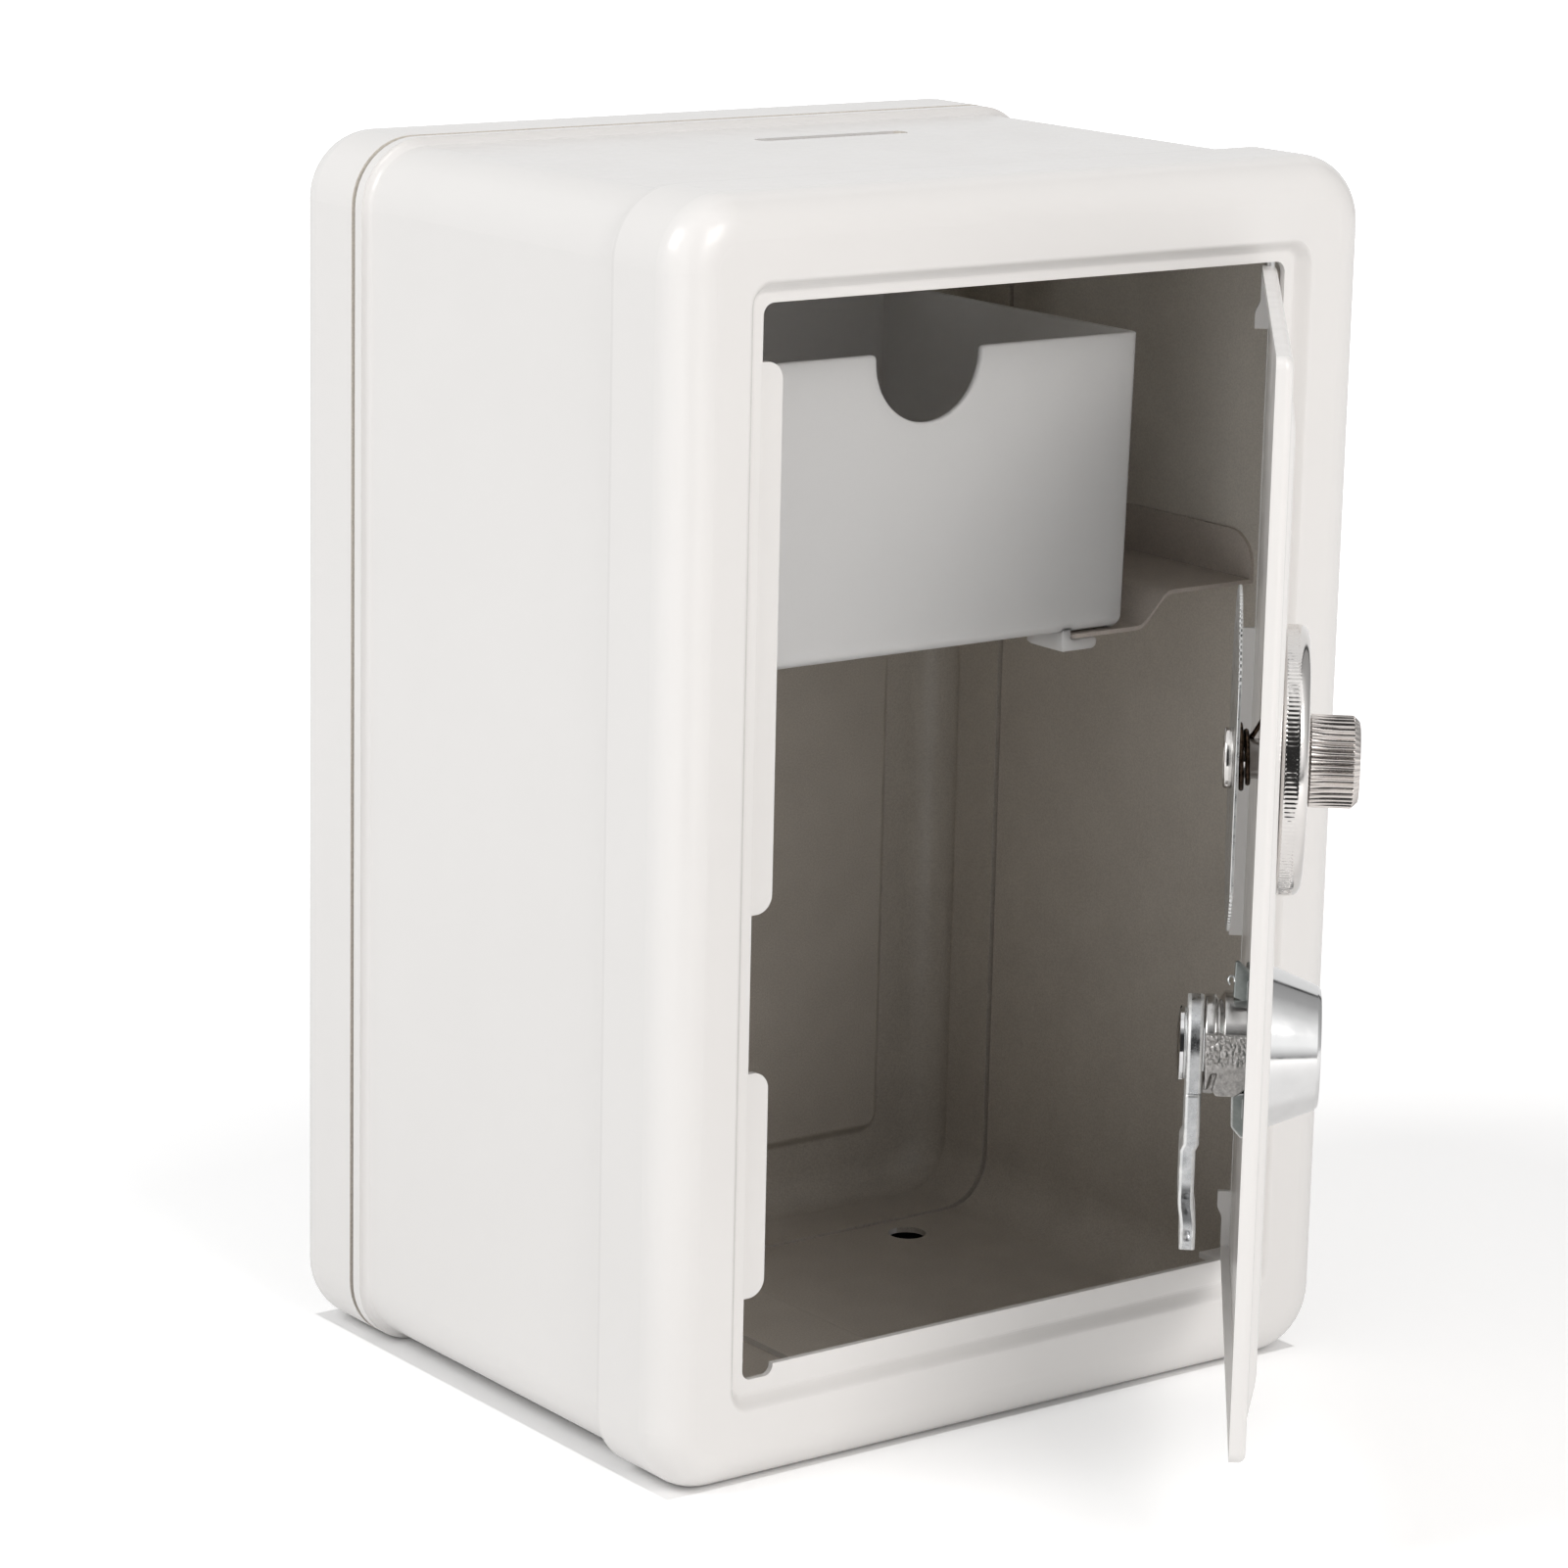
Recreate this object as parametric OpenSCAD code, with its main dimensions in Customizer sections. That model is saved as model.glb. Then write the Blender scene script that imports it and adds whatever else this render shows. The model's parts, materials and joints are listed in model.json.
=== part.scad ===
// Combination coin bank: a small sheet steel safe with a hinged door, a dial lock, a key lock and a coin tray

/* [Body] */
// Overall width of the front frame and back cover
body_w = 121.6; // [100:0.1:150]
// Overall height, standing on the two pressed pans
body_h = 180; // [165:0.5:220]
// Overall depth from the front frame's face to the back cover
body_d = 97; // [85:0.5:140]
// Thickness of the pressed steel sheet
sheet = 0.9; // [0.6:0.05:1.1]
// Depth of the skirt of the front frame and of the back cover
skirt_d = 16; // [13:0.5:20]
// Corner radius of the body seen from the front
corner_r = 9.9; // [8.5:0.1:13]
// Radius of the rolled edge round the front frame
front_edge_r = 5.9; // [4:0.1:6.5]
// Radius of the rolled edge round the back cover
back_edge_r = 6.4; // [4:0.1:6.5]
// Width of the raised border round the recessed panel, front and back
border_w = 11.2; // [10.4:0.1:12]
// Depth of the recessed panel behind the border
recess_d = 2; // [1.5:0.1:2.4]
// Corner radius of the recessed panel
recess_r = 3.6; // [3:0.1:5]

/* [Sleeve] */
// Gap between a pan's skirt and the sleeve inside it
sleeve_gap = 0.3; // [0.1:0.05:0.4]
// How far the sleeve reaches into each pan
sleeve_lap = 8; // [5:0.5:9]
// Width of the bead rolled round the sleeve in front of the back cover
bead_w = 3.2; // [2.6:0.1:4]
// Open seam between the bead and the back cover
seam_gap = 0.6; // [0.4:0.1:0.9]
// Overlap of the wrapped sheet on the floor
floor_lap = 14; // [8:1:20]
// Sideways place of the floor overlap's edge
floor_lap_x = -14; // [-20:1:-8]
// Length of the coin slot in the roof
slot_l = 27; // [24:0.5:32]
// Width of the coin slot
slot_w = 3; // [2.6:0.1:4]
// Sideways place of the coin slot's middle
slot_x = 10.8; // [5:0.1:14]
// Distance of the coin slot behind the front face
slot_y = 63; // [50:0.5:68]
// Diameter of the two fixing holes in the floor
bolt_hole_d = 6; // [5:0.1:7]
// Spacing of the two fixing holes
bolt_spacing = 76; // [60:1:84]
// Distance of the fixing holes behind the front face
bolt_y = 72.4; // [66:0.1:74]

/* [Doorway] */
// Width of the doorway between the edges of the recessed panel
doorway_w = 92; // [86:0.1:94]
// Height of the doorway
doorway_h = 148.6; // [140:0.1:151]
// How far the doorway's middle sits above the body's middle
doorway_rise = 1.1; // [0:0.1:1.4]
// Corner radius of the doorway
doorway_r = 1.7; // [1:0.1:2.5]
// How far the stop lips reach into the doorway
lip_reach = 5.2; // [4.4:0.1:5.6]
// Corner radius of the stop lips
lip_r = 2.6; // [2:0.1:3]
// Height of the upper stop lip
upper_lip_h = 76; // [70:0.5:78]
// Lower end of the upper stop lip above the doorway's sill
upper_lip_z = 64.3; // [63:0.1:66]
// Height of the lower stop lip
lower_lip_h = 32.5; // [28:0.5:34]
// Lower end of the lower stop lip above the doorway's sill
lower_lip_z = 9.3; // [8:0.1:11]

/* [Door] */
// Angle at which the door stands open
door_open = 49.5; // [0:0.5:110]
// Gap between the closed door and the doorway's edges
door_gap = 0.6; // [0.4:0.05:0.9]
// Depth of the door pan from its face to the edge of its flanges
door_d = 2.2; // [1.8:0.1:2.4]
// Bend radius round the door's face
door_bend_r = 1; // [0.95:0.05:1.3]
// Gap between the closed door's flanges and the stop lips
stop_gap = 0.2; // [0.15:0.05:0.4]
// Height of the flange lugs at the ends of the hinge edge
lug_h = 9.2; // [7:0.1:12]
// How much deeper the lugs are at their inner ends
lug_step = 0.7; // [0.3:0.1:0.8]
// Height of the flange tab in the middle of the hinge edge
tab_h = 46; // [30:1:56]
// Lower end of that tab above the door's lower edge
tab_z = 48.6; // [40:0.1:60]
// Depth of that tab from the door's face
tab_d = 2.9; // [2.4:0.1:3.2]
// Diameter of the two hinge pins
pin_d = 1.5; // [1.2:0.05:1.5]
// Distance of the hinge axis from the door's hinge edge
pin_inset = 1.3; // [1.2:0.05:1.6]
// Running clearance round the hinge pins, on the radius
pin_clear = 0.05; // [0.02:0.01:0.08]

/* [Dial lock] */
// Distance of both locks from the door's free edge
lock_inset = 24.8; // [24.6:0.1:26]
// Height of the dial above the doorway's sill
dial_z = 90.7; // [88:0.1:96]
// Diameter of the dial
dial_d = 36; // [30:0.5:38]
// Thickness of the dial
dial_t = 4.4; // [3.6:0.1:5]
// Gap between the dial and the door
dial_gap = 1.4; // [0.6:0.1:1.8]
// Number of ribs round the dial's rim
dial_ribs = 90; // [60:2:110]
// Radius of the lip between the dial's rim and its face
dial_lip_r = 1.4; // [1:0.1:1.6]
// Diameter of the dial's knob
knob_d = 12.4; // [11:0.1:15]
// Length of the knob in front of the dial
knob_l = 6.2; // [5:0.1:10]
// Number of flutes round the knob
knob_flutes = 42; // [24:2:46]
// Diameter of the spindle
spindle_d = 3.6; // [3:0.1:4]
// Running clearance round the spindle in its bush, on the radius
spindle_clear = 0.05; // [0.02:0.01:0.08]
// Outer diameter of the bush in the door
bush_d = 5.4; // [5:0.1:6]
// Diameter of the locking disc
disc_d = 46; // [44.5:0.1:46.4]
// Thickness of the locking disc
disc_t = 0.9; // [0.8:0.1:1.2]
// Depth of the locking disc's front behind the door's face
disc_depth = 4.6; // [4.4:0.1:5.6]
// How much of the locking disc's edge is cut away by its flat
disc_cut = 4.4; // [3.8:0.1:5]
// Number of notches round the locking disc
disc_notches = 60; // [24:4:72]
// Diameter of the peened head on the spindle
head_d = 8.2; // [7:0.1:10]
// Thickness of that head
head_t = 0.9; // [0.6:0.1:1.3]
// Wire diameter of the dial spring
spring_wire = 0.7; // [0.5:0.05:0.8]
// Outer diameter of the dial spring where it bears on the disc
spring_d = 9.4; // [8.6:0.1:11]
// Turns of the dial spring
spring_turns = 2.1; // [1.5:0.1:2.2]

/* [Key lock] */
// Height of the key lock above the doorway's sill
lock_z = 51.2; // [49.5:0.1:52]
// Diameter of the lock's cone where it meets the door
cone_base_d = 21.6; // [19:0.1:24]
// Diameter of the cone's face
cone_face_d = 16.8; // [15:0.1:18]
// Height of the cone
cone_h = 8.2; // [6:0.1:9]
// Diameter of the lock barrel behind the door
barrel_d = 14.6; // [14.2:0.1:16]
// Diameter of the collar at the barrel's rear end
collar_d = 13.5; // [13:0.1:14]
// Width of the barrel across its flats
barrel_flats = 13.2; // [12.4:0.1:13.4]
// Length of the barrel behind the door's face
barrel_l = 7.2; // [6.6:0.1:8.6]
// Diameter of the key plug
plug_d = 9; // [8:0.1:10]
// Running clearance round the key plug, on the radius
plug_clear = 0.05; // [0.02:0.01:0.08]
// Length of the cam from the lock's axis to its tip
cam_l = 29.3; // [28.6:0.1:30.5]
// Width of the cam
cam_w = 10; // [8.5:0.1:11]
// Thickness of the cam
cam_t = 1.8; // [1.4:0.1:2]
// How far the cam's middle is joggled back
cam_joggle = 0.6; // [0.3:0.1:0.8]
// Diameter of the cam screw's head
screw_d = 10.2; // [8:0.1:11]
// Height of the cam screw's head
screw_t = 1; // [0.8:0.1:1.4]
// Height of the clip that holds the barrel in the door
clip_h = 25; // [22:0.5:26]
// Width of that clip
clip_w = 20; // [18:0.5:22]
// Thickness of that clip
clip_t = 0.8; // [0.6:0.05:1]
// Clearance between the turned cam and the keeper tab it locks behind
keeper_gap = 0.3; // [0.2:0.05:0.5]
// Height of the keeper tab
keeper_h = 14; // [10:0.5:16]

/* [Shelf and coin tray] */
// Distance of the shelf's front edge behind the front face
shelf_y = 20; // [19.6:0.1:22]
// Depth of the shelf
shelf_d = 62; // [50:0.5:64]
// Height of the shelf's low middle above the ground
shelf_z = 110.2; // [108:0.1:113]
// Thickness of the shelf's sheet
shelf_t = 0.6; // [0.5:0.05:0.9]
// Rise of the shelf's sides above its middle
shelf_rise = 4.8; // [3:0.1:6]
// Height of the flanges that hold the shelf to the sleeve
flange_h = 7; // [5:0.5:9]
// Width of the coin tray at its top
tray_w = 74.4; // [66:0.1:75]
// Depth of the coin tray from front to back
tray_d = 60; // [48:0.5:61]
// Height of the coin tray
tray_h = 43.4; // [36:0.1:46]
// Wall of the coin tray
tray_wall = 1.2; // [1:0.05:1.6]
// Sideways place of the coin tray's middle
tray_x = -3.2; // [-3.4:0.1:-2.8]
// Draft of the tray's walls over its height
tray_draft = 0.8; // [0.4:0.1:1.2]
// Radius of the coin tray's upright edges
tray_r = 1.5; // [1.3:0.1:2.4]
// Radius of the edges round the coin tray's bottom
tray_foot_r = 1.8; // [1.3:0.1:2.6]
// Width of the finger notch
notch_w = 18.6; // [15:0.1:22]
// Straight part of the finger notch above its round end
notch_straight = 0.9; // [0.4:0.1:3]
// Radius at the finger notch's two upper corners
notch_corner_r = 0.8; // [0.4:0.1:1]
// Play between the tray and the shelf
tray_play = 0.3; // [0.2:0.05:0.4]
// Width of each of the tray's two hooks below the shelf
hook_w = 6.5; // [5.5:0.1:8]
// Depth of the hooks from front to back
hook_d = 8.3; // [6:0.1:10]
// Thickness of the hooks' webs and feet
hook_t = 1.6; // [1.2:0.1:2]
// Distance of the hooks' webs from the tray's middle
hook_x = 25.7; // [20:0.1:27]

/* [Hidden] */
$fn = 48;
// A little extra so that cuts pass clean through
cut = 1;

// The origin is on the ground, in the middle of the front frame's underside
front_y = -skirt_d / 2;

// Sleeve
sleeve_in = sheet + sleeve_gap;
sleeve_out_r = corner_r - sleeve_in;
wall_x = body_w / 2 - sleeve_in - sheet;
sleeve_y0 = skirt_d - sleeve_lap;
seam_y = body_d - skirt_d;
bead_y1 = seam_y - seam_gap;
bead_y0 = bead_y1 - bead_w;
sleeve_y1 = seam_y + sleeve_lap;
floor_z = sleeve_in + sheet;
roof_z = body_h - floor_z;

// Doorway
doorway_zc = body_h / 2 + doorway_rise;
sill_z = doorway_zc - doorway_h / 2;
lintel_z = doorway_zc + doorway_h / 2;
jamb_x = doorway_w / 2;
lip_y = recess_d + door_d + stop_gap;
ear_w = 5;
ear_d = 4.6;
relief_w = 5.2;
relief_h = 4;
relief_r = 1.4;

// Door, drawn closed and then turned open about its hinge axis
door_w = doorway_w - 2 * door_gap;
door_h = doorway_h - 2 * door_gap;
door_x1 = door_w / 2;
door_x0 = -door_x1;
door_z0 = sill_z + door_gap;
door_z1 = lintel_z - door_gap;
face_y = recess_d;
hinge_x = door_x1 - pin_inset;
hinge_y = face_y + door_d / 2;
door_corner_r = 1.6;
lug_tip = 4.2;
lug_ramp = 2.1;
// A hinge pin stops this far short of the faces it passes through
pin_short = 0.1;
lock_x = door_x0 + lock_inset;

// Dial lock, by depth behind the door's face: what stands before the face is negative
dial_axis_z = sill_z + dial_z;
dial_back = -dial_gap;
dial_front = dial_back - dial_t;
knob_front = dial_front - knob_l;
spindle_front = knob_front + 1.2;
disc_back = disc_depth + disc_t;
washer_t = 0.3;
washer_d = 6.8;
head_z = disc_back + washer_t;
head_edge_r = 0.5;
bush_flange_d = 9;
bush_flange_t = dial_gap - 0.05;
bush_l = disc_depth - 1.2;
spring_in_d = bush_d + 0.8;
dial_dish = 0.5;
dial_wall = 2;
dial_hollow = 1.6;
dial_rim_step = 0.5;
rib_depth = 0.4;
knob_bevel = 0.9;
flute_r = 0.36;
disc_notch_r = 0.4;

// Key lock
lock_axis_z = sill_z + lock_z;
cam_depth = barrel_l + 0.2;
cam_back = cam_depth + cam_t;
keeper_y = face_y + cam_depth - keeper_gap;
clip_depth = sheet + 0.1;
cone_rim = 0.5;
cone_edge = 0.8;
face_dish = 0.8;
collar_z = barrel_l - 1.5;
groove_z = collar_z - 0.8;
groove_depth = 1.1;
keyway_w = 1.4;
keyway_h = 5.6;
keyway_l = 6;
plug_square = 6;
square_clear = 0.05;
hole_clear = 0.1;
cam_screw_d = 3;
cam_washer_t = 0.4;
cam_hub_d = cam_w + 3.4;
cam_corner = 1.5;
clip_tip = 3.4;
clip_tip_angle = 32;

// Shelf and tray
step_x = tray_w / 2 + 2.4;
step_run = 6.6;
flange_top = shelf_z + shelf_rise + flange_h;
flange_corner_r = 5;
tray_z = shelf_z + tray_play;
tray_y = shelf_y - 1;
notch_x = -1.2;
hook_y = shelf_y + 0.3;
hook_z = shelf_z - shelf_t - tray_play - hook_t;
hook_corner_r = 1;

// Moves a piece from the front face's frame to the part's own frame
module from_front() translate([0, front_y, 0]) children();

// Turns what is drawn on the closed door to the open door
module on_door() translate([hinge_x, front_y + hinge_y, 0]) rotate([0, 0, door_open])
    translate([-hinge_x, -hinge_y, 0]) children();

// Moves to a lock's axis on the door's face, with the drawing's Z pointing into the safe
module at_lock(z) on_door() translate([lock_x, face_y, z]) rotate([-90, 0, 0]) children();

// A plate whose outline is drawn in X and Z, from y0 back to y0 + t
module plate(y0, t) translate([0, y0 + t, 0]) rotate([90, 0, 0]) linear_extrude(height = t) children();

// A rectangle with round corners, centred
module round_rect(w, h, r) {
    square([w - 2 * r, h], center = true);
    square([w, h - 2 * r], center = true);
    for (sx = [-1, 1], sy = [-1, 1]) translate([sx * (w / 2 - r), sy * (h / 2 - r)]) circle(r);
}

// Carries a section round a rectangle with round corners: the section's X runs outwards
// from the corner's centre and its Y runs back from the front face
module carry_round(w, h, r) {
    for (s = [0, 1]) mirror([s, 0, 0]) translate([w / 2 - r, 0, 0])
        linear_extrude(height = h - 2 * r, center = true) children();
    for (s = [0, 1]) mirror([0, 0, s]) translate([0, 0, h / 2 - r])
        rotate([0, -90, 0]) linear_extrude(height = w - 2 * r, center = true) children();
    for (sx = [0, 1], sz = [0, 1]) mirror([sx, 0, 0]) mirror([0, 0, sz])
        translate([w / 2 - r, 0, -(h / 2 - r)]) rotate([-90, 0, 0]) rotate_extrude(angle = 90) children();
}

// Section of a pressed pan's rim: a skirt that rolls over into the face
module rim_section(r, edge_r, d) {
    module solid(off) intersection() {
        union() {
            translate([0, edge_r]) square([r - off, d]);
            translate([0, off]) square([r - edge_r, d]);
            translate([r - edge_r, edge_r]) circle(edge_r - off);
        }
        square([r, d + (off > 0 ? cut : 0)]);
    }
    difference() {
        solid(0);
        solid(sheet);
    }
}

// Section of the soft step from the border down to the recessed panel
function ramp(k) = (1 - cos(180 * k)) / 2;
module step_section(r, run, drop) {
    n = 8;
    polygon(concat([for (i = [0:n]) [r - run * i / n, drop * ramp(i / n)]],
                   [for (i = [n:-1:0]) [r - run * i / n, drop * ramp(i / n) + sheet]]));
}

// A pressed pan with a rolled rim and a recessed panel, its face at y = 0, centred on the Y axis
module pan(edge_r) {
    step_run_in = 2.2;
    panel_w = body_w - 2 * border_w;
    panel_h = body_h - 2 * border_w;
    carry_round(body_w, body_h, corner_r) rim_section(corner_r, edge_r, skirt_d);
    plate(0, sheet) difference() {
        square([body_w - 2 * corner_r, body_h - 2 * corner_r], center = true);
        round_rect(panel_w, panel_h, recess_r);
    }
    carry_round(panel_w, panel_h, recess_r) step_section(recess_r, step_run_in, recess_d);
    plate(recess_d, sheet)
        round_rect(panel_w - 2 * step_run_in, panel_h - 2 * step_run_in, recess_r - step_run_in);
}

// The doorway's outline, with a relief notch in its lower left corner
module doorway() {
    translate([0, doorway_zc]) round_rect(doorway_w, doorway_h, doorway_r);
    translate([-jamb_x + relief_w / 2, sill_z + 0.4]) round_rect(relief_w, relief_h, relief_r);
}

// One stop lip on the left jamb: a web back from the panel and a round-cornered lip
module stop_lip(z0, h) {
    translate([-jamb_x - sheet, recess_d, z0]) cube([sheet, lip_y + sheet - recess_d, h]);
    plate(lip_y, sheet) translate([-jamb_x - sheet, z0]) {
        square([sheet + lip_reach - lip_r, h]);
        translate([0, lip_r]) square([sheet + lip_reach, h - 2 * lip_r]);
        for (z = [lip_r, h - lip_r]) translate([sheet + lip_reach - lip_r, z]) circle(lip_r);
    }
}

// An ear bent back from the panel, which holds a hinge pin
module hinge_ear(z0) translate([hinge_x - ear_w / 2, recess_d, z0]) cube([ear_w, ear_d, sheet]);

// The keeper tab bent straight back from the left jamb between the stop lips: the cam turns behind it
module keeper() translate([-jamb_x - sheet, recess_d, lock_axis_z - keeper_h / 2])
    cube([sheet, keeper_y - recess_d, keeper_h]);

// Front frame: the pressed pan with the doorway, the stop lips, the keeper and the hinge ears
module front_frame() color("whitesmoke") from_front() difference() {
    union() {
        difference() {
            translate([0, 0, body_h / 2]) pan(front_edge_r);
            plate(recess_d - cut, sheet + 2 * cut) doorway();
        }
        stop_lip(sill_z + upper_lip_z, upper_lip_h);
        stop_lip(sill_z + lower_lip_z, lower_lip_h);
        keeper();
        hinge_ear(sill_z - sheet);
        hinge_ear(lintel_z);
    }
    for (z = [sill_z - sheet, lintel_z]) translate([hinge_x, hinge_y, z])
        cylinder(d = pin_d + 2 * pin_clear, h = sheet);
}

// Section of the sleeve's wall with the bead rolled in front of the back cover: a hollow fillet
// outwards, a narrow crest level with the pans and a rounded rear edge
module sleeve_section() {
    wall_in = sleeve_out_r - sheet;
    bead_h = sleeve_in - 0.05;
    bead_edge_r = 0.35;
    translate([wall_in, sleeve_y0]) square([sheet, bead_y0 - sleeve_y0]);
    translate([wall_in, bead_y1]) square([sheet, sleeve_y1 - bead_y1]);
    difference() {
        union() {
            translate([wall_in, bead_y0]) square([sheet + bead_h, bead_w - bead_edge_r]);
            translate([wall_in, bead_y0]) square([sheet + bead_h - bead_edge_r, bead_w]);
            translate([sleeve_out_r + bead_h - bead_edge_r, bead_y1 - bead_edge_r]) circle(bead_edge_r);
        }
        translate([sleeve_out_r + bead_h, bead_y0]) circle(bead_h);
        translate([wall_in - cut, bead_y0 + bead_h]) square([bead_h + cut, bead_w - bead_h - sheet]);
    }
}

// Body sleeve: the wrapped sheet with its floor lap, coin slot and fixing holes
module body_sleeve() color("whitesmoke") from_front() difference() {
    union() {
        translate([0, 0, body_h / 2])
            carry_round(body_w - 2 * sleeve_in, body_h - 2 * sleeve_in, sleeve_out_r) sleeve_section();
        plate(sleeve_y0, bead_y0 - sleeve_y0) polygon([[floor_lap_x, floor_z - 0.1],
            [floor_lap_x, floor_z + sheet], [floor_lap_x + floor_lap, floor_z + sheet],
            [floor_lap_x + floor_lap + 2, floor_z - 0.1]]);
    }
    translate([slot_x, slot_y, body_h - sleeve_in - sheet / 2])
        linear_extrude(height = sheet + 2 * cut, center = true) round_rect(slot_l, slot_w, 1);
    for (s = [-1, 1]) translate([s * bolt_spacing / 2, bolt_y, -cut])
        cylinder(d = bolt_hole_d, h = floor_z + 2 * cut);
}

// Back cover: the same pressed pan without a doorway
module back_cover() color("whitesmoke") from_front()
    translate([0, body_d, body_h / 2]) rotate([0, 0, 180]) pan(back_edge_r);

// Outline of the shelf in X and Z: a low middle, soft steps and flanges up the walls
module shelf_section() {
    n = 8;
    side_z = shelf_z + shelf_rise;
    right = concat([for (i = [0:n]) [tray_x + step_x + step_run * i / n, shelf_z + shelf_rise * ramp(i / n)]],
                   [[wall_x - shelf_t, side_z], [wall_x - shelf_t, flange_top]]);
    left = concat([for (i = [0:n]) [tray_x - step_x - step_run * i / n, shelf_z + shelf_rise * ramp(i / n)]],
                  [[-wall_x + shelf_t, side_z], [-wall_x + shelf_t, flange_top]]);
    m = len(right) - 1;
    polygon(concat([for (i = [m:-1:0]) left[i]], right,
                   [[wall_x, flange_top], [wall_x, side_z - shelf_t]],
                   [for (i = [m - 2:-1:0]) right[i] - [0, shelf_t]], [for (i = [0:m - 2]) left[i] - [0, shelf_t]],
                   [[-wall_x, side_z - shelf_t], [-wall_x, flange_top]]));
}

// Shelf: the bent sheet that carries the tray, cut back at the front between the tray's hooks
module shelf() color("whitesmoke") from_front() difference() {
    plate(shelf_y, shelf_d) shelf_section();
    translate([tray_x - hook_x - hook_t - tray_play, shelf_y - cut, shelf_z - shelf_t - cut])
        cube([2 * (hook_x + hook_t + tray_play), hook_y + hook_d + tray_play - shelf_y + cut, shelf_t + 2 * cut]);
    for (s = [-1, 1]) translate([s * (wall_x - shelf_t / 2), shelf_y, flange_top])
        rotate([0, 90, 0]) corner_cut(flange_corner_r, 4 * shelf_t);
}

// Places the right hook and its mirror image about the tray's middle
module both_hooks() for (s = [0, 1]) translate([tray_x, 0, 0]) mirror([s, 0, 0]) children();

// What is cut from a plate's corner at the origin to round it, for a plate of thickness t about Z = 0
module corner_cut(r, t) difference() {
    translate([-cut, -cut, -t / 2]) cube([r + cut, r + cut, t]);
    translate([r, r, -t]) cylinder(r = r, h = 2 * t);
}

// A tapered box from z = 0 to h with round upright edges and a round edge at its foot
module tapered_box(w, d, h, r, foot_r, draft) hull() {
    for (a = [0:22.5:90]) {
        z = foot_r * (1 - cos(a));
        inset = foot_r * (1 - sin(a)) + draft * (1 - z / h);
        translate([0, 0, z]) linear_extrude(height = 0.01)
            round_rect(w - 2 * inset, d - 2 * inset, max(r - foot_r * (1 - sin(a)) / 2, 0.3), $fn = 24);
    }
    translate([0, 0, h - 0.01]) linear_extrude(height = 0.01) round_rect(w, d, r, $fn = 24);
}

// The finger notch's outline, its round bottom at the origin's height and its lip at the tray's edge
module notch_outline() {
    circle(d = notch_w);
    translate([-notch_w / 2, 0]) square([notch_w, notch_straight + cut]);
    difference() {
        translate([-notch_w / 2 - notch_corner_r, notch_straight - notch_corner_r])
            square([notch_w + 2 * notch_corner_r, notch_corner_r + cut]);
        for (s = [-1, 1]) translate([s * (notch_w / 2 + notch_corner_r), notch_straight - notch_corner_r])
            circle(notch_corner_r);
    }
}

// Coin tray: the tapered plastic box with a finger notch and two L-shaped hooks round the shelf
module coin_tray() color("gainsboro") from_front() {
    translate([tray_x, tray_y + tray_d / 2, tray_z]) difference() {
        tapered_box(tray_w, tray_d, tray_h, tray_r, tray_foot_r, tray_draft);
        translate([0, 0, tray_wall]) tapered_box(tray_w - 2 * tray_wall, tray_d - 2 * tray_wall, tray_h,
            max(tray_r - tray_wall, 0.3), max(tray_foot_r - tray_wall, 0.3), tray_draft);
        translate([notch_x, -tray_d / 2 + tray_r + tray_wall, tray_h - notch_straight])
            rotate([90, 0, 0]) linear_extrude(height = tray_r + tray_wall + cut) notch_outline();
    }
    both_hooks() translate([hook_x, hook_y, hook_z]) difference() {
        union() {
            cube([hook_t, hook_d, tray_z - hook_z + 0.7 * tray_wall]);
            cube([hook_w, hook_d, hook_t]);
        }
        translate([hook_w, hook_d / 2, 0]) rotate([90, 0, 0]) mirror([1, 0, 0]) corner_cut(hook_corner_r, 2 * hook_d);
        translate([hook_w / 2, hook_d, 0]) rotate([90, 0, -90]) corner_cut(hook_corner_r, 2 * hook_w);
    }
}

// The door's face and flanges, with the hinge edge cut back between its lugs and tab
module door_shell() difference() {
    translate([0, face_y, door_z0 + door_h / 2]) {
        carry_round(door_w, door_h, door_corner_r) intersection() {
            rim_section(door_corner_r, door_bend_r, door_d);
            square([door_corner_r, door_d]);
        }
        plate(0, sheet) square([door_w - 2 * door_corner_r, door_h - 2 * door_corner_r], center = true);
    }
    for (seg = [[lug_h, tab_z], [tab_z + tab_h, door_h - lug_h]])
        translate([door_x1 - 2 * sheet, face_y + door_bend_r, door_z0 + seg[0]])
            cube([2 * sheet + cut, door_d, seg[1] - seg[0]]);
}

// The deeper inner end of a hinge edge lug: its depth grows in a soft step
module lug_end() translate([door_x1 - sheet, face_y, door_z0 + lug_h - lug_tip])
    rotate([90, 0, 90]) linear_extrude(height = sheet) {
        n = 6;
        polygon(concat([[door_bend_r, 0]],
            [for (i = [0:n]) [door_d + lug_step * ramp(i / n), lug_ramp * i / n]],
            [[door_d + lug_step, lug_tip], [door_bend_r, lug_tip]]));
    }

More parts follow.
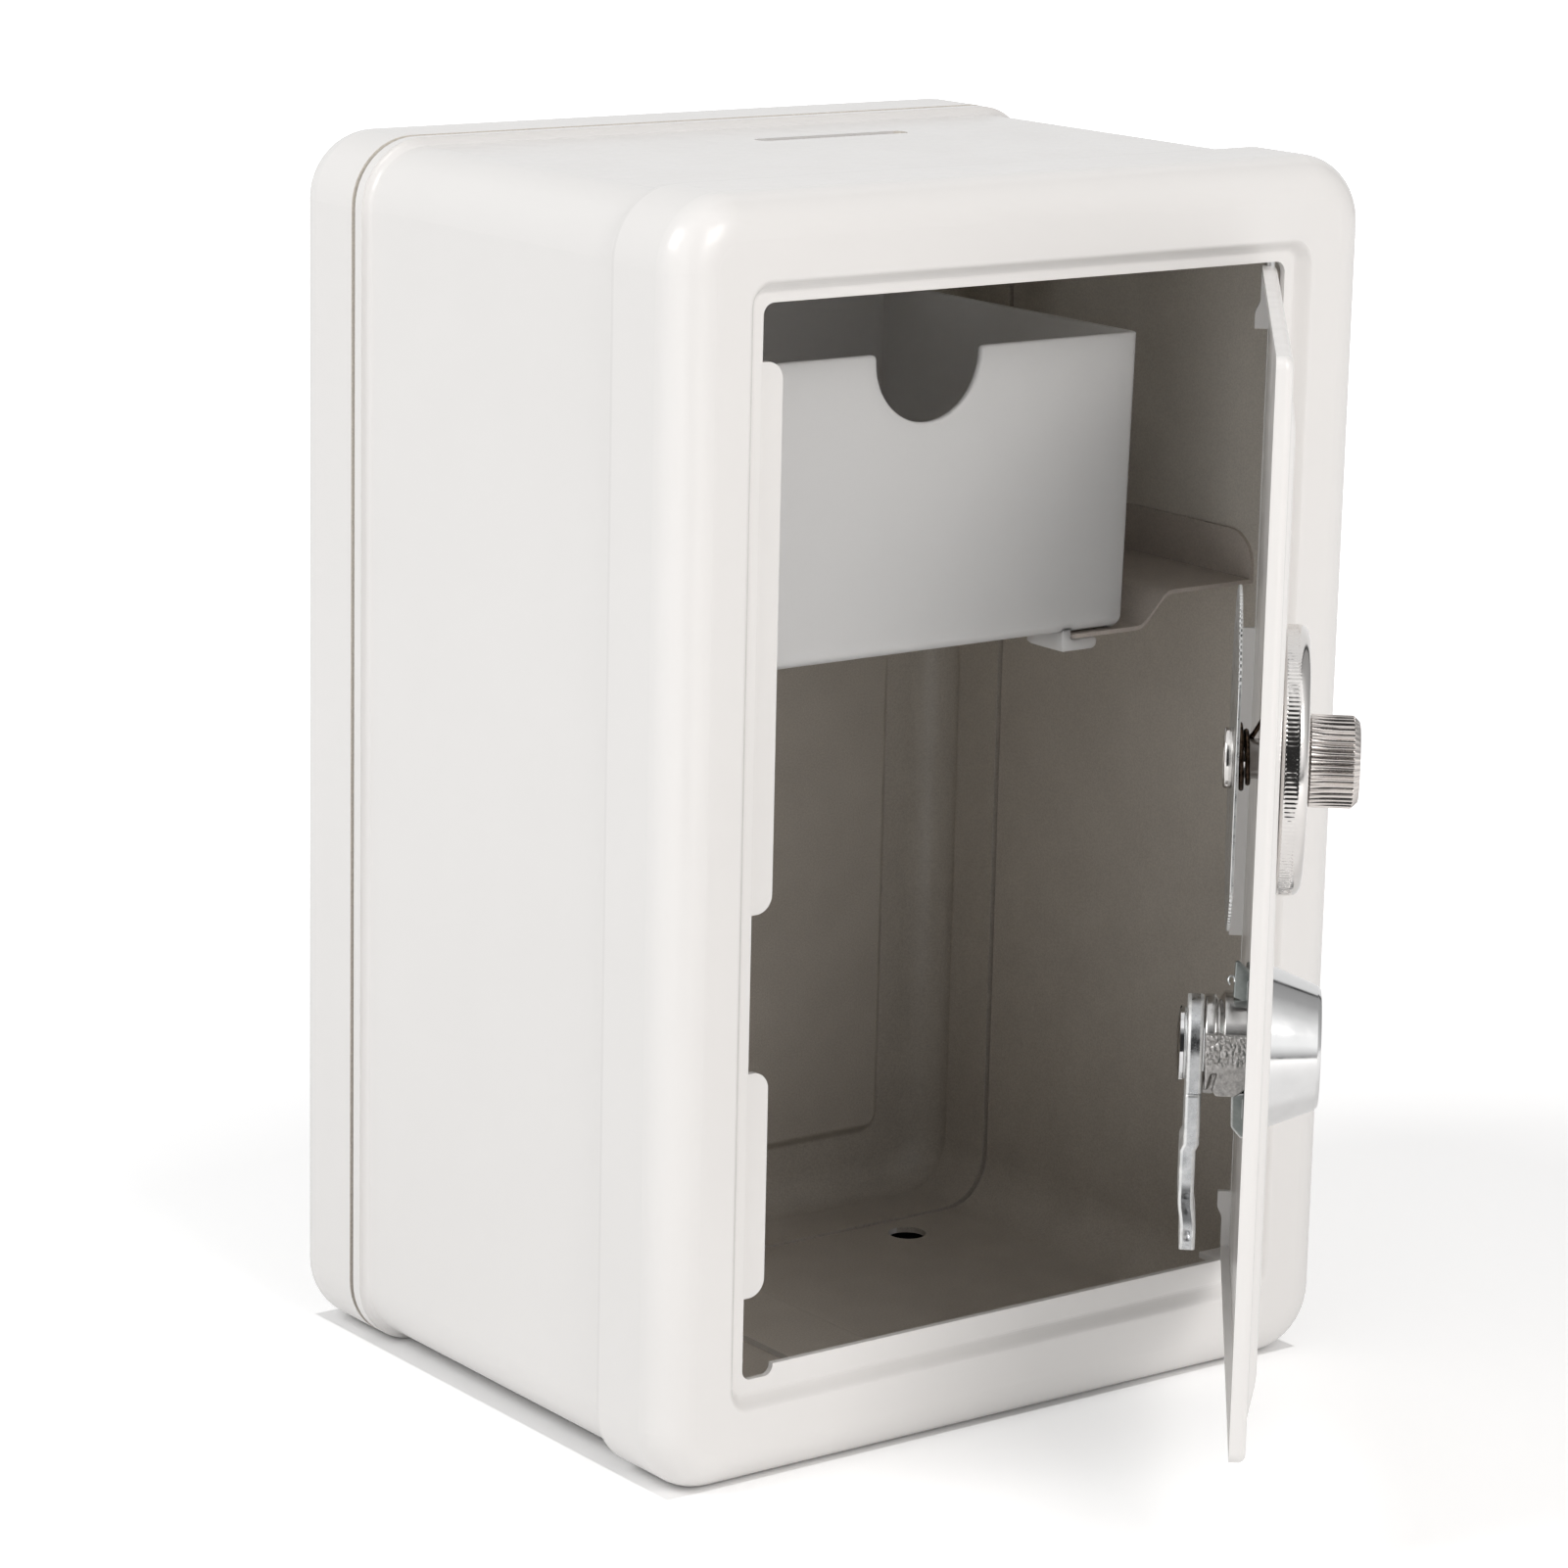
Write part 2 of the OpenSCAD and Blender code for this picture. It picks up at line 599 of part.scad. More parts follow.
// Door panel: the shallow pan with holes for both locks and the hinge pins
module door_panel() color("whitesmoke") on_door() difference() {
    union() {
        door_shell();
        translate([door_x1 - sheet, face_y + door_bend_r, door_z0 + tab_z])
            cube([sheet, tab_d - door_bend_r, tab_h]);
        translate([0, 0, doorway_zc]) for (s = [0, 1]) mirror([0, 0, s]) translate([0, 0, -doorway_zc]) lug_end();
    }
    translate([lock_x, face_y - cut, dial_axis_z]) rotate([-90, 0, 0])
        cylinder(d = bush_d, h = sheet + 2 * cut);
    translate([lock_x, face_y - cut, lock_axis_z]) rotate([-90, 0, 0]) linear_extrude(height = sheet + 2 * cut)
        flatted(barrel_d + 2 * hole_clear, hole_clear);
    for (z = [door_z0 - cut, door_z1 - sheet]) translate([hinge_x, hinge_y, z])
        cylinder(d = pin_d, h = sheet + cut);
}

// Hinge pins, pressed into the door's flanges and turning in the frame's ears
module hinge_pin(z0) on_door() translate([hinge_x, hinge_y, z0])
    cylinder(d = pin_d, h = 2 * sheet + door_gap - pin_short);
module hinge_pin_top() color("silver") hinge_pin(door_z1 - sheet);
module hinge_pin_bottom() color("silver") hinge_pin(door_z0 - door_gap - sheet + pin_short);

// Dial: the disc with a ribbed rim, a rolled lip round a dished face and a hollow back
module dial() color("silver") at_lock(dial_axis_z) difference() {
    rotate_extrude() difference() {
        union() {
            translate([0, dial_front]) square([dial_d / 2 - dial_lip_r, dial_t]);
            translate([dial_d / 2 - dial_lip_r, dial_front + dial_lip_r]) circle(dial_lip_r);
            translate([0, dial_front + dial_lip_r]) square([dial_d / 2 - rib_depth, dial_t - dial_lip_r]);
            translate([0, dial_front + dial_lip_r]) square([dial_d / 2, dial_t - dial_lip_r - dial_rim_step]);
        }
        translate([bush_flange_d / 2 + dial_rim_step, dial_back - dial_hollow])
            square([dial_d / 2 - dial_wall - bush_flange_d / 2 - dial_rim_step, dial_hollow + cut]);
        translate([knob_d / 2 + dial_rim_step, dial_front - cut])
            square([dial_d / 2 - 2 * dial_lip_r - knob_d / 2 - dial_rim_step, cut + dial_dish]);
        translate([-cut, dial_front - cut]) square([spindle_d / 2 + cut, dial_t + 2 * cut]);
    }
    for (i = [0:dial_ribs - 1]) rotate([0, 0, i * 360 / dial_ribs])
        translate([dial_d / 2 - rib_depth, 0, dial_front + dial_lip_r]) rotate([0, 0, 45]) cube([1, 1, dial_t]);
}

// Knob: a fluted cylinder with a bevelled face, fixed on the spindle
module dial_knob() color("silver") at_lock(dial_axis_z) difference() {
    rotate_extrude() difference() {
        polygon([[0, knob_front], [knob_d / 2 - knob_bevel, knob_front], [knob_d / 2, knob_front + knob_bevel],
                 [knob_d / 2, dial_front], [0, dial_front]]);
        translate([-cut, spindle_front]) square([spindle_d / 2 + cut, knob_l]);
    }
    for (i = [0:knob_flutes - 1]) rotate([0, 0, i * 360 / knob_flutes])
        translate([knob_d / 2, 0, knob_front - cut]) cylinder(r = flute_r, h = knob_l + cut - 0.8, $fn = 16);
}

// Spindle: the shaft from the knob to the peened head behind the locking disc
module dial_spindle() color("silver") at_lock(dial_axis_z) {
    translate([0, 0, spindle_front]) cylinder(d = spindle_d, h = head_z - spindle_front);
    translate([0, 0, head_z]) rotate_extrude() {
        square([head_d / 2, head_t - head_edge_r]);
        square([head_d / 2 - head_edge_r, head_t]);
        translate([head_d / 2 - head_edge_r, 0]) intersection() {
            translate([0, head_t - head_edge_r]) circle(head_edge_r);
            square([head_edge_r, head_t]);
        }
    }
}

// Bush: the bearing pressed into the door, with a thin flange under the dial
module dial_bush() color("gainsboro") at_lock(dial_axis_z) difference() {
    union() {
        cylinder(d = bush_d, h = bush_l);
        translate([0, 0, -bush_flange_t]) cylinder(d = bush_flange_d, h = bush_flange_t);
    }
    translate([0, 0, -bush_flange_t - cut])
        cylinder(d = spindle_d + 2 * spindle_clear, h = bush_flange_t + bush_l + 2 * cut);
}

// Dial spring: a short conical coil between the door and the locking disc, its ends running straight
spring_rings = 8;
spring_sides = 6;
spring_n = round(spring_turns * spring_rings);
spring_seat = 0.15;
function spring_r(k) = spring_in_d / 2 + spring_wire / 2 + (spring_d - spring_in_d - 2 * spring_wire) / 2 * k;
function spring_h(k) = sheet + spring_seat + spring_wire / 2
    + (disc_depth - sheet - 2 * spring_seat - spring_wire) * k;
function spring_a(k) = 360 * spring_turns * k - 90;
// Centre of ring i: along the coil, and one wire's thickness straight on past each end
function spring_mid(i) = let (k = max(0, min(1, i / spring_n)), a = spring_a(k),
        past = i < 0 ? -spring_wire : i > spring_n ? spring_wire : 0)
    [spring_r(k) * cos(a) - past * sin(a), spring_r(k) * sin(a) + past * cos(a), spring_h(k)];
module dial_spring() color("dimgray") at_lock(dial_axis_z) {
    points = [for (i = [-1:spring_n + 1], j = [0:spring_sides - 1])
        let (a = spring_a(max(0, min(1, i / spring_n))), b = 360 * j / spring_sides)
        spring_mid(i) + spring_wire / 2 * [cos(a) * cos(b), sin(a) * cos(b), sin(b)]];
    sides = [for (i = [0:spring_n + 1], j = [0:spring_sides - 1], t = [0, 1])
        let (a = i * spring_sides + j, b = i * spring_sides + (j + 1) % spring_sides)
        t == 0 ? [a, b, a + spring_sides] : [b, b + spring_sides, a + spring_sides]];
    last = (spring_n + 2) * spring_sides;
    ends = [for (j = [1:spring_sides - 2], t = [0, 1])
        t == 0 ? [0, j + 1, j] : [last, last + j, last + j + 1]];
    polyhedron(points, concat(sides, ends));
}
// Least gap between the coil's turns, measured between ring centres half a turn or more apart
echo(spring_gap = min([for (i = [-1:spring_n + 1], j = [-1:spring_n + 1])
    if (j - i >= spring_rings / 2) norm(spring_mid(i) - spring_mid(j)) - spring_wire]));

// Locking disc: a notched disc whose flat faces the frame's lip when the combination is set
module locking_disc() color("silver") at_lock(dial_axis_z) translate([0, 0, disc_depth]) difference() {
    cylinder(d = disc_d, h = disc_t, $fn = 96);
    translate([0, 0, -cut]) cylinder(d = spindle_d, h = disc_t + 2 * cut);
    translate([-disc_d / 2 - cut, -disc_d / 2, -cut]) cube([disc_cut + cut, disc_d, disc_t + 2 * cut]);
    for (i = [0:disc_notches - 1]) if (abs(i - disc_notches / 2) > disc_notches / 10)
        rotate([0, 0, i * 360 / disc_notches]) translate([disc_d / 2, 0, -cut])
            cylinder(r = disc_notch_r, h = disc_t + 2 * cut, $fn = 16);
}

// Washer between the locking disc and the spindle's head
module disc_washer() color("silver") at_lock(dial_axis_z) translate([0, 0, disc_back]) difference() {
    cylinder(d = washer_d, h = washer_t);
    translate([0, 0, -cut]) cylinder(d = spindle_d, h = washer_t + 2 * cut);
}

// A circle of diameter d between the barrel's two flats, as the hole in the door has
module flatted(d, gap) intersection() {
    circle(d = d);
    square([barrel_flats + 2 * gap, d], center = true);
}

// Lock barrel: the chromed cone outside, and inside the cast body with a collar behind a groove,
// its two flats cut along the whole length
module lock_barrel() color("silver") at_lock(lock_axis_z) difference() {
    union() {
        rotate_extrude() polygon([[0, 0], [cone_base_d / 2, 0], [cone_base_d / 2, -cone_rim],
            [cone_face_d / 2, cone_edge - cone_h], [cone_face_d / 2 - cone_edge, -cone_h], [0, -cone_h]]);
        intersection() {
            rotate_extrude() polygon([[0, 0], [barrel_d / 2, 0], [barrel_d / 2, groove_z],
                [barrel_d / 2 - groove_depth, collar_z - 0.3], [barrel_d / 2 - groove_depth, collar_z],
                [collar_d / 2, collar_z + 0.2], [collar_d / 2, barrel_l - 0.2], [collar_d / 2 - 0.2, barrel_l],
                [0, barrel_l]]);
            linear_extrude(height = barrel_l) flatted(barrel_d + cut, 0);
        }
    }
    translate([0, 0, -cone_h - cut]) cylinder(d = plug_d + 2 * plug_clear, h = cone_h + barrel_l + 2 * cut);
    translate([0, 0, -cone_h - cut]) cylinder(d = plug_d + 3, h = cut + face_dish);
}

// Lock clip: the forked spring plate that grips the barrel behind the door, its ends bent up
module lock_clip() color("silver") at_lock(lock_axis_z) translate([0, 0, clip_depth]) difference() {
    union() {
        linear_extrude(height = clip_t) round_rect(clip_w, clip_h - 2 * clip_tip + 0.8, 2);
        for (s = [0, 1]) mirror([0, s, 0]) translate([3 - clip_w / 2, clip_h / 2 - clip_tip + 0.3, 0])
            rotate([clip_tip_angle, 0, 0]) cube([clip_w - 6, clip_tip, clip_t]);
    }
    translate([0, 0, -cut]) linear_extrude(height = clip_t + 2 * cut) flatted(barrel_d + hole_clear, hole_clear / 2);
}

// Key plug: the cylinder with a keyway in front and a square that drives the cam behind
module lock_plug() color("silver") at_lock(lock_axis_z) difference() {
    union() {
        translate([0, 0, 0.3 - cone_h]) cylinder(d = plug_d, h = cone_h - 0.3 + barrel_l);
        translate([-plug_square / 2, -plug_square / 2, 0]) cube([plug_square, plug_square, cam_back]);
    }
    translate([-keyway_w / 2, -keyway_h / 2, -cone_h - cut]) cube([keyway_w, keyway_h, keyway_l + cut]);
    translate([0, 0, barrel_l]) cylinder(d = cam_screw_d, h = cam_t + 2 * cut);
}

// Cam: the lever that turns behind the keeper, its middle joggled back by two soft bends
module cam_section() {
    bends = [for (k = [0.48, 0.54, 0.6, 0.78, 0.84, 0.9]) k * cam_l];
    back = [0, cam_joggle / 2, cam_joggle, cam_joggle, cam_joggle / 2, 0];
    n = len(bends) - 1;
    polygon(concat([[0, 0]], [for (i = [0:n]) [bends[i], back[i]]], [[cam_l, 0], [cam_l, cam_t]],
                   [for (i = [n:-1:0]) [bends[i], back[i] + cam_t]], [[0, cam_t]]));
}
module lock_cam() color("silver") at_lock(lock_axis_z) difference() {
    translate([0, 0, cam_depth]) {
        linear_extrude(height = cam_t) circle(d = cam_hub_d);
        translate([-cam_w / 2, 0, 0]) rotate([90, 0, 90]) linear_extrude(height = cam_w) cam_section();
    }
    translate([-plug_square / 2 - square_clear, -plug_square / 2 - square_clear, cam_depth - cut])
        cube([plug_square + 2 * square_clear, plug_square + 2 * square_clear, cam_t + 2 * cut]);
    for (s = [0, 1]) mirror([s, 0, 0]) translate([-cam_w / 2, cam_l, cam_depth + cam_t / 2])
        mirror([0, 1, 0]) corner_cut(cam_corner, 2 * cam_t + 2 * cut);
}

// Cam washer and the screw that holds the cam on the plug
module cam_washer() color("silver") at_lock(lock_axis_z) translate([0, 0, cam_back]) difference() {
    cylinder(d = screw_d - 0.6, h = cam_washer_t);
    translate([0, 0, -cut]) cylinder(d = cam_screw_d, h = cam_washer_t + 2 * cut);
}
module cam_screw() color("silver") at_lock(lock_axis_z) {
    translate([0, 0, cam_depth]) cylinder(d = cam_screw_d, h = cam_t + cam_washer_t);
    translate([0, 0, cam_back + cam_washer_t]) difference() {
        cylinder(d = screw_d, h = screw_t);
        translate([-0.6, -screw_d, screw_t / 2]) cube([1.2, 2 * screw_d, screw_t]);
    }
}

front_frame();
body_sleeve();
back_cover();
shelf();
coin_tray();
door_panel();
hinge_pin_top();
hinge_pin_bottom();
dial();
dial_knob();
dial_spindle();
dial_bush();
dial_spring();
locking_disc();
disc_washer();
lock_barrel();
lock_clip();
lock_plug();
lock_cam();
cam_washer();
cam_screw();
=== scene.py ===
import json
import math

import bmesh
import bpy
import numpy as np
from mathutils import Matrix, Vector


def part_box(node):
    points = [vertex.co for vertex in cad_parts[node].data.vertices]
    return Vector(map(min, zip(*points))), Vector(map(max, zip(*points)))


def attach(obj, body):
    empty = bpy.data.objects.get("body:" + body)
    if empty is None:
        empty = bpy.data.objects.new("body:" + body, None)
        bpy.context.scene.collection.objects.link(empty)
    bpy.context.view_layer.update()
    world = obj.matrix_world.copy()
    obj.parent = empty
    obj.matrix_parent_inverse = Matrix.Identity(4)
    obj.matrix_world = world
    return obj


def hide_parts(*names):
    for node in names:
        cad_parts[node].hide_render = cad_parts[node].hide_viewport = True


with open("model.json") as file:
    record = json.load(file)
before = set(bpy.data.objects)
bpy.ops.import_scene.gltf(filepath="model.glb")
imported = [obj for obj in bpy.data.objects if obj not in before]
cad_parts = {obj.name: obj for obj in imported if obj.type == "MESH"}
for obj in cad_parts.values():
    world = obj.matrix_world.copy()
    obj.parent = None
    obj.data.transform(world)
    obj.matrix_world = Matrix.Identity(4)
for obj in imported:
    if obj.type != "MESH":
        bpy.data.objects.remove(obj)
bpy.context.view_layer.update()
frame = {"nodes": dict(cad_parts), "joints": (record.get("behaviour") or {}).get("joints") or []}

bl_info = {
    "name": "Combination coin bank",
    "version": (1, 0, 0),
    "blender": (4, 5, 0),
    "location": "View3D > Sidebar > Coin Bank",
    "description": "Dresses a small sheet steel coin bank: paint, plated locks, tray and studio",
    "category": "Object",
}

MM = 0.001
JOINTS = {joint["name"]: joint for joint in frame["joints"]}
NODES = frame["nodes"]

# Points closer than this are merged
MERGED = 0.0005 * MM
# Half the body's height, and about the middle of its depth
MIDDLE_Z = 90 * MM
MIDDLE_Y = 41 * MM
# The level direction from the safe to the camera
CAMERA_SIDE = (-0.625, -0.78, 0)
# The door's edges, from the locks' axes towards the hinge
FREE_EDGE = -24.8 * MM
HINGE_EDGE = 66 * MM
# The spindle's radius, and the depth of the locking disc's rear face behind the door's face
SPINDLE = 1.8 * MM
DISC_BACK = 5.05 * MM
# The sleeve's outside: half its width, half its height and the radius of its corners
SLEEVE_HALF_X = 59.62 * MM
SLEEVE_HALF_Z = 88.82 * MM
SLEEVE_CORNER = 8.72 * MM


def colour(name, description, value):
    return bpy.props.FloatVectorProperty(name=name, description=description, subtype="COLOR",
                                         size=3, min=0.0, max=1.0, default=value)


def share(name, description, value):
    return bpy.props.FloatProperty(name=name, description=description, subtype="FACTOR",
                                   min=0.0, max=1.0, default=value)


def length(name, description, value):
    """A length property whose default is given in millimetres."""
    return bpy.props.FloatProperty(name=name, description=description, unit="LENGTH",
                                   default=value * MM)


def count(name, description, value):
    return bpy.props.IntProperty(name=name, description=description, min=1, default=value)


def power(name, description, value):
    return bpy.props.FloatProperty(name=name, description=description, unit="POWER",
                                   min=0.0, default=value)


class StudioSettings(bpy.types.PropertyGroup):
    """The camera, the lamps and the floor."""
    camera_place: bpy.props.FloatVectorProperty(
        name="Camera place", description="Where the camera stands", subtype="TRANSLATION",
        unit="LENGTH", size=3, default=(-0.44505, -0.54714, 0.25913))
    camera_ahead: bpy.props.FloatVectorProperty(
        name="Camera direction", description="Which way the camera looks", subtype="DIRECTION",
        size=3, default=(0.58229, 0.77982, -0.22983))
    camera_right: bpy.props.FloatVectorProperty(
        name="Camera right", description="Which way the picture's right side points",
        subtype="DIRECTION", size=3, default=(0.80406, -0.59418, 0.02108))
    camera_lens: bpy.props.FloatProperty(
        name="Focal length", description="Focal length on a 36 mm wide sensor, in millimetres",
        default=117.70)
    floor_colour: colour("Floor", "Colour of the floor", (0.95, 0.95, 0.95))
    floor_lift: share("Floor lift", "How much whiter the floor shows close to the object", 0.28)
    sky: share("Sky", "Strength of the soft light from all round", 0.50)
    left_lamp: power("Left lamp", "Power of the soft lamp on the left", 2.5)
    front_lamp: power("Front lamp", "Power of the soft lamp in front", 1.75)
    low_lamp: power("Low lamp", "Power of the wide low lamp in front", 1.2)
    warmth: colour("Warmth", "Colour of the two lamps in front", (1.0, 0.965, 0.94))
    lamp_side: length("Lamp size", "Side of the two square lamps", 340)


class PaintSettings(bpy.types.PropertyGroup):
    """The powder coat."""
    outside: colour("Outside", "Colour of the powder coat", (0.815, 0.80, 0.785))
    # The inside colour is darker partly as a thinner coat and partly as painted shade of the cabin
    inside: colour("Inside", "Colour of the thin coat inside the cabin", (0.68, 0.61, 0.55))
    roughness: share("Roughness", "Roughness of the coat", 0.22)
    peel: length("Orange peel", "Size of the coat's ripples", 1.1)
    speckle: length("Speckle", "Grain of the thin coat inside", 0.3)


class DialSettings(bpy.types.PropertyGroup):
    """The dial, its knob and what turns with them."""
    radius: length("Dial radius", "Radius of the dial over its ribs", 18)
    back: length("Dial back", "Gap between the door and the dial", 0.9)
    thickness: length("Dial thickness", "Thickness of the dial", 3.6)
    lip: length("Lip", "Radius of the rolled lip round the face", 1.4)
    ribs: count("Ribs", "Number of ribs round the rim", 180)
    rib_depth: length("Rib depth", "Depth of the grooves between the ribs", 0.06)
    knob_radius: length("Knob radius", "Radius of the knob over its flutes", 6.2)
    knob_length: length("Knob length", "Length of the knob in front of the dial", 7.2)
    flutes: count("Flutes", "Number of flutes round the knob", 42)
    flute_radius: length("Flute radius", "Radius of each flute", 0.36)
    marks: count("Marks", "Number of graduations on the dial's face", 60)
    enamel: colour("Enamel", "Colour of the graduations", (0.012, 0.012, 0.013))


class LockSettings(bpy.types.PropertyGroup):
    """The key lock."""
    cone_base: length("Cone base", "Radius of the cone at the door", 11)
    cone_face: length("Cone face", "Radius of the cone at its face", 8.4)
    cone_height: length("Cone height", "Height of the cone", 8.2)
    barrel: length("Barrel", "Radius of the barrel behind the door", 7.3)
    collar: length("Collar", "Radius of the collar at the barrel's end", 6.75)
    flat: length("Flats", "Distance of the barrel's flats from its axis", 6.6)
    barrel_length: length("Barrel length", "Length of the barrel behind the door's face", 7.2)
    cam_length: length("Cam length", "Length of the cam from the lock's axis", 28.1)
    cam_thickness: length("Cam thickness", "Thickness of the cam", 2.15)


class DoorSettings(bpy.types.PropertyGroup):
    """The door's raised field."""
    rise: length("Rise", "How far the field stands proud of the door's face", 0.8)
    bulge: length("Bulge", "How much further it stands out at the key lock", 0.4)
    free_margin: length("Free margin", "Flat margin along the door's free edge", 2.4)
    hinge_margin: length("Hinge margin", "Flat margin along the hinge edge", 7)
    end_margin: length("End margin", "Flat margin along the door's top and bottom", 2.5)
    shoulder: length("Shoulder", "Width of the slope along the free edge", 3)
    end_slope: length("End slope", "Width of the slope at the top and bottom", 9)


class TraySettings(bpy.types.PropertyGroup):
    """The frosted tray."""
    tint: colour("Plastic", "Colour of the frosted plastic", (0.88, 0.885, 0.88))
    wall: length("Wall", "Thickness of the tray's wall", 1.2)
    draft: length("Draft", "How far the walls lean over their height", 0.8)
    corner: length("Corners", "Radius of the upright edges", 1.5)
    foot_radius: length("Foot", "Radius of the edges round the bottom", 1.8)
    notch: length("Notch", "Radius of the finger notch", 9.3)
    notch_place: length("Notch place", "Sideways place of the finger notch", -1.2)


def grid_faces(rows, columns, wrap_rows, wrap_columns, start):
    """Four-sided faces between the neighbours of a grid of points, numbered row by row."""
    index = np.arange(rows * columns).reshape(rows, columns) + start
    if wrap_rows:
        index = np.vstack([index, index[:1]])
    if wrap_columns:
        index = np.hstack([index, index[:, :1]])
    corners = index[:-1, :-1], index[1:, :-1], index[1:, 1:], index[:-1, 1:]
    return np.stack(corners, axis=-1).reshape(-1, 4)


def make_piece(name, body, grids, materials, caps=(), pick=None, sharp=32):
    """One closed, outward-facing mesh from grids of points in metres, (points, wrap rows, wrap columns).

    A cap is a list of points that closes a ring with one face. Where pick is given, it turns
    the faces' middles into the number of each face's material.
    """
    points = []
    faces = []
    start = 0
    for grid, wrap_rows, wrap_columns in grids:
        rows, columns = grid.shape[:2]
        faces += grid_faces(rows, columns, wrap_rows, wrap_columns, start).tolist()
        points.append(grid.reshape(-1, 3))
        start += rows * columns
    for ring in caps:
        faces.append(list(range(start, start + len(ring))))
        points.append(np.asarray(ring))
        start += len(ring)
    mesh = bpy.data.meshes.new(name)
    mesh.from_pydata(np.concatenate(points).tolist(), [], faces)
    shell = bmesh.new()
    shell.from_mesh(mesh)
    bmesh.ops.remove_doubles(shell, verts=shell.verts, dist=MERGED)
    bmesh.ops.recalc_face_normals(shell, faces=shell.faces)
    shell.to_mesh(mesh)
    shell.free()
    mesh.shade_smooth()
    mesh.set_sharp_from_angle(angle=math.radians(sharp))
    for material in materials:
        mesh.materials.append(material)
    if pick:
        middles = np.empty(len(mesh.polygons) * 3, dtype=np.float32)
        mesh.polygons.foreach_get("center", middles)
        mesh.polygons.foreach_set("material_index", pick(middles.reshape(-1, 3)).astype(np.int32))
    piece = bpy.data.objects.new(name, mesh)
    bpy.context.scene.collection.objects.link(piece)
    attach(piece, body)
    return piece


class LockFrame:
    """A lock's own directions: X towards the hinge, Y down and Z into the safe, from the door's face."""

    def __init__(self, joint, sign):
        inward = sign * np.array(JOINTS[joint]["axis"])
        down = np.array([0.0, 0.0, -1.0])
        self.origin = np.array(JOINTS[joint]["pos_m"])
        self.directions = np.stack([np.cross(down, inward), down, inward])

    def place(self, points):
        """Turns points in the lock's directions into the model's: origin + x X + y Y + z Z."""
        return self.origin + points @ self.directions

    def unplace(self, points):
        """The reverse of place: the parts along X, Y and Z of a point less the origin."""
        return (points - self.origin) @ self.directions.T


DIAL = LockFrame("dial_turn", -1)
KEY = LockFrame("key_turn", 1)


def rounded(corners, steps=5, wrap=False):
    """A line through (x, y, radius) corners: each is replaced by an arc that touches both sides."""
    corners = np.asarray(corners, dtype=float)
    out = []
    last = len(corners) - 1
    for number, (x, y, radius) in enumerate(corners):
        here = np.array([x, y])
        if radius <= 0 or (not wrap and number in (0, last)):
            out.append(here[None])
            continue
        before = corners[number - 1][:2] - here
        after = corners[(number + 1) % len(corners)][:2] - here
        before /= np.linalg.norm(before)
        after /= np.linalg.norm(after)
        half = math.acos(max(-1.0, min(1.0, float(before @ after)))) / 2
        middle = before + after
        centre = here + middle / np.linalg.norm(middle) * radius / math.sin(half)
        first = here + before * radius / math.tan(half) - centre
        final = here + after * radius / math.tan(half) - centre
        sweep = math.pi - 2 * half
        t = np.linspace(0, 1, steps + 1)[:, None]
        arc = (np.sin((1 - t) * sweep) * first + np.sin(t * sweep) * final) / math.sin(sweep)
        out.append(centre + arc)
    return np.concatenate(out)


def turned(profile, angles, radius=None):
    """A surface of revolution: (r cos a, r sin a, h) for each angle a and profile point (r, h).

    Where radius is given, it works out r from the angles and the profile.
    """
    angle = angles[:, None]
    r, h = profile[:, 0][None], profile[:, 1][None]
    if radius:
        r = radius(angle, r, h)
    r, h = np.broadcast_arrays(r + 0 * angle, h + 0 * angle)
    return np.stack([r * np.cos(angle), r * np.sin(angle), h], axis=-1)


def circle(samples):
    """The angles of so many equal steps round one turn."""
    return np.linspace(0, 2 * np.pi, samples, endpoint=False)


def wave(angle, number):
    """Place within one of a number of equal parts of a turn, from -0.5 to 0.5."""
    part = angle * number / (2 * np.pi)
    return part - np.floor(part) - 0.5


def ease(x, start, end):
    """0 before start, 1 after end and the soft step 3t^2 - 2t^3 between them."""
    t = np.clip((x - start) / (end - start), 0, 1)
    return t * t * (3 - 2 * t)


def bump_at(x, middle, width):
    """The bell curve exp(-((x - middle) / width)^2)."""
    return np.exp(-((x - middle) / width) ** 2)


def tube(path, radius, sides=12):
    """A round wire along a path: p + r (n cos a + b sin a).

    n is the Z direction less its part along the path's tangent, and b the tangent crossed with n.
    """
    tangent = np.gradient(path, axis=0)
    tangent /= np.linalg.norm(tangent, axis=1, keepdims=True)
    normal = np.array([0, 0, 1.0]) - tangent[:, 2:] * tangent
    normal /= np.linalg.norm(normal, axis=1, keepdims=True)
    across = np.cross(tangent, normal)
    a = circle(sides)[None, :, None]
    return path[:, None] + radius * (np.cos(a) * normal[:, None] + np.sin(a) * across[:, None])


def carried(outline, start, stop, soft, between):
    """An outline (y, z) carried along x, its rim drawn in by s (1 - sin t) at both soft ends.

    Between the ends it stands at the places that are given.
    """
    ahead = np.roll(outline, -1, axis=0) - np.roll(outline, 1, axis=0)
    normal = np.stack([ahead[:, 1], -ahead[:, 0]], 1)
    normal /= np.maximum(np.linalg.norm(normal, axis=1, keepdims=True), 1e-9)
    turn = np.radians(np.linspace(0, 90, 5))
    inset = np.concatenate([soft * (1 - np.sin(turn)), 0 * between, soft * (1 - np.cos(turn))])
    along = np.concatenate([start + soft * (1 - np.cos(turn)), between,
                            stop - soft * (1 - np.sin(turn))])
    flat = outline[None] - inset[:, None, None] * normal[None]
    return np.concatenate([np.broadcast_to(along[:, None, None], (*flat.shape[:2], 1)), flat], axis=-1)


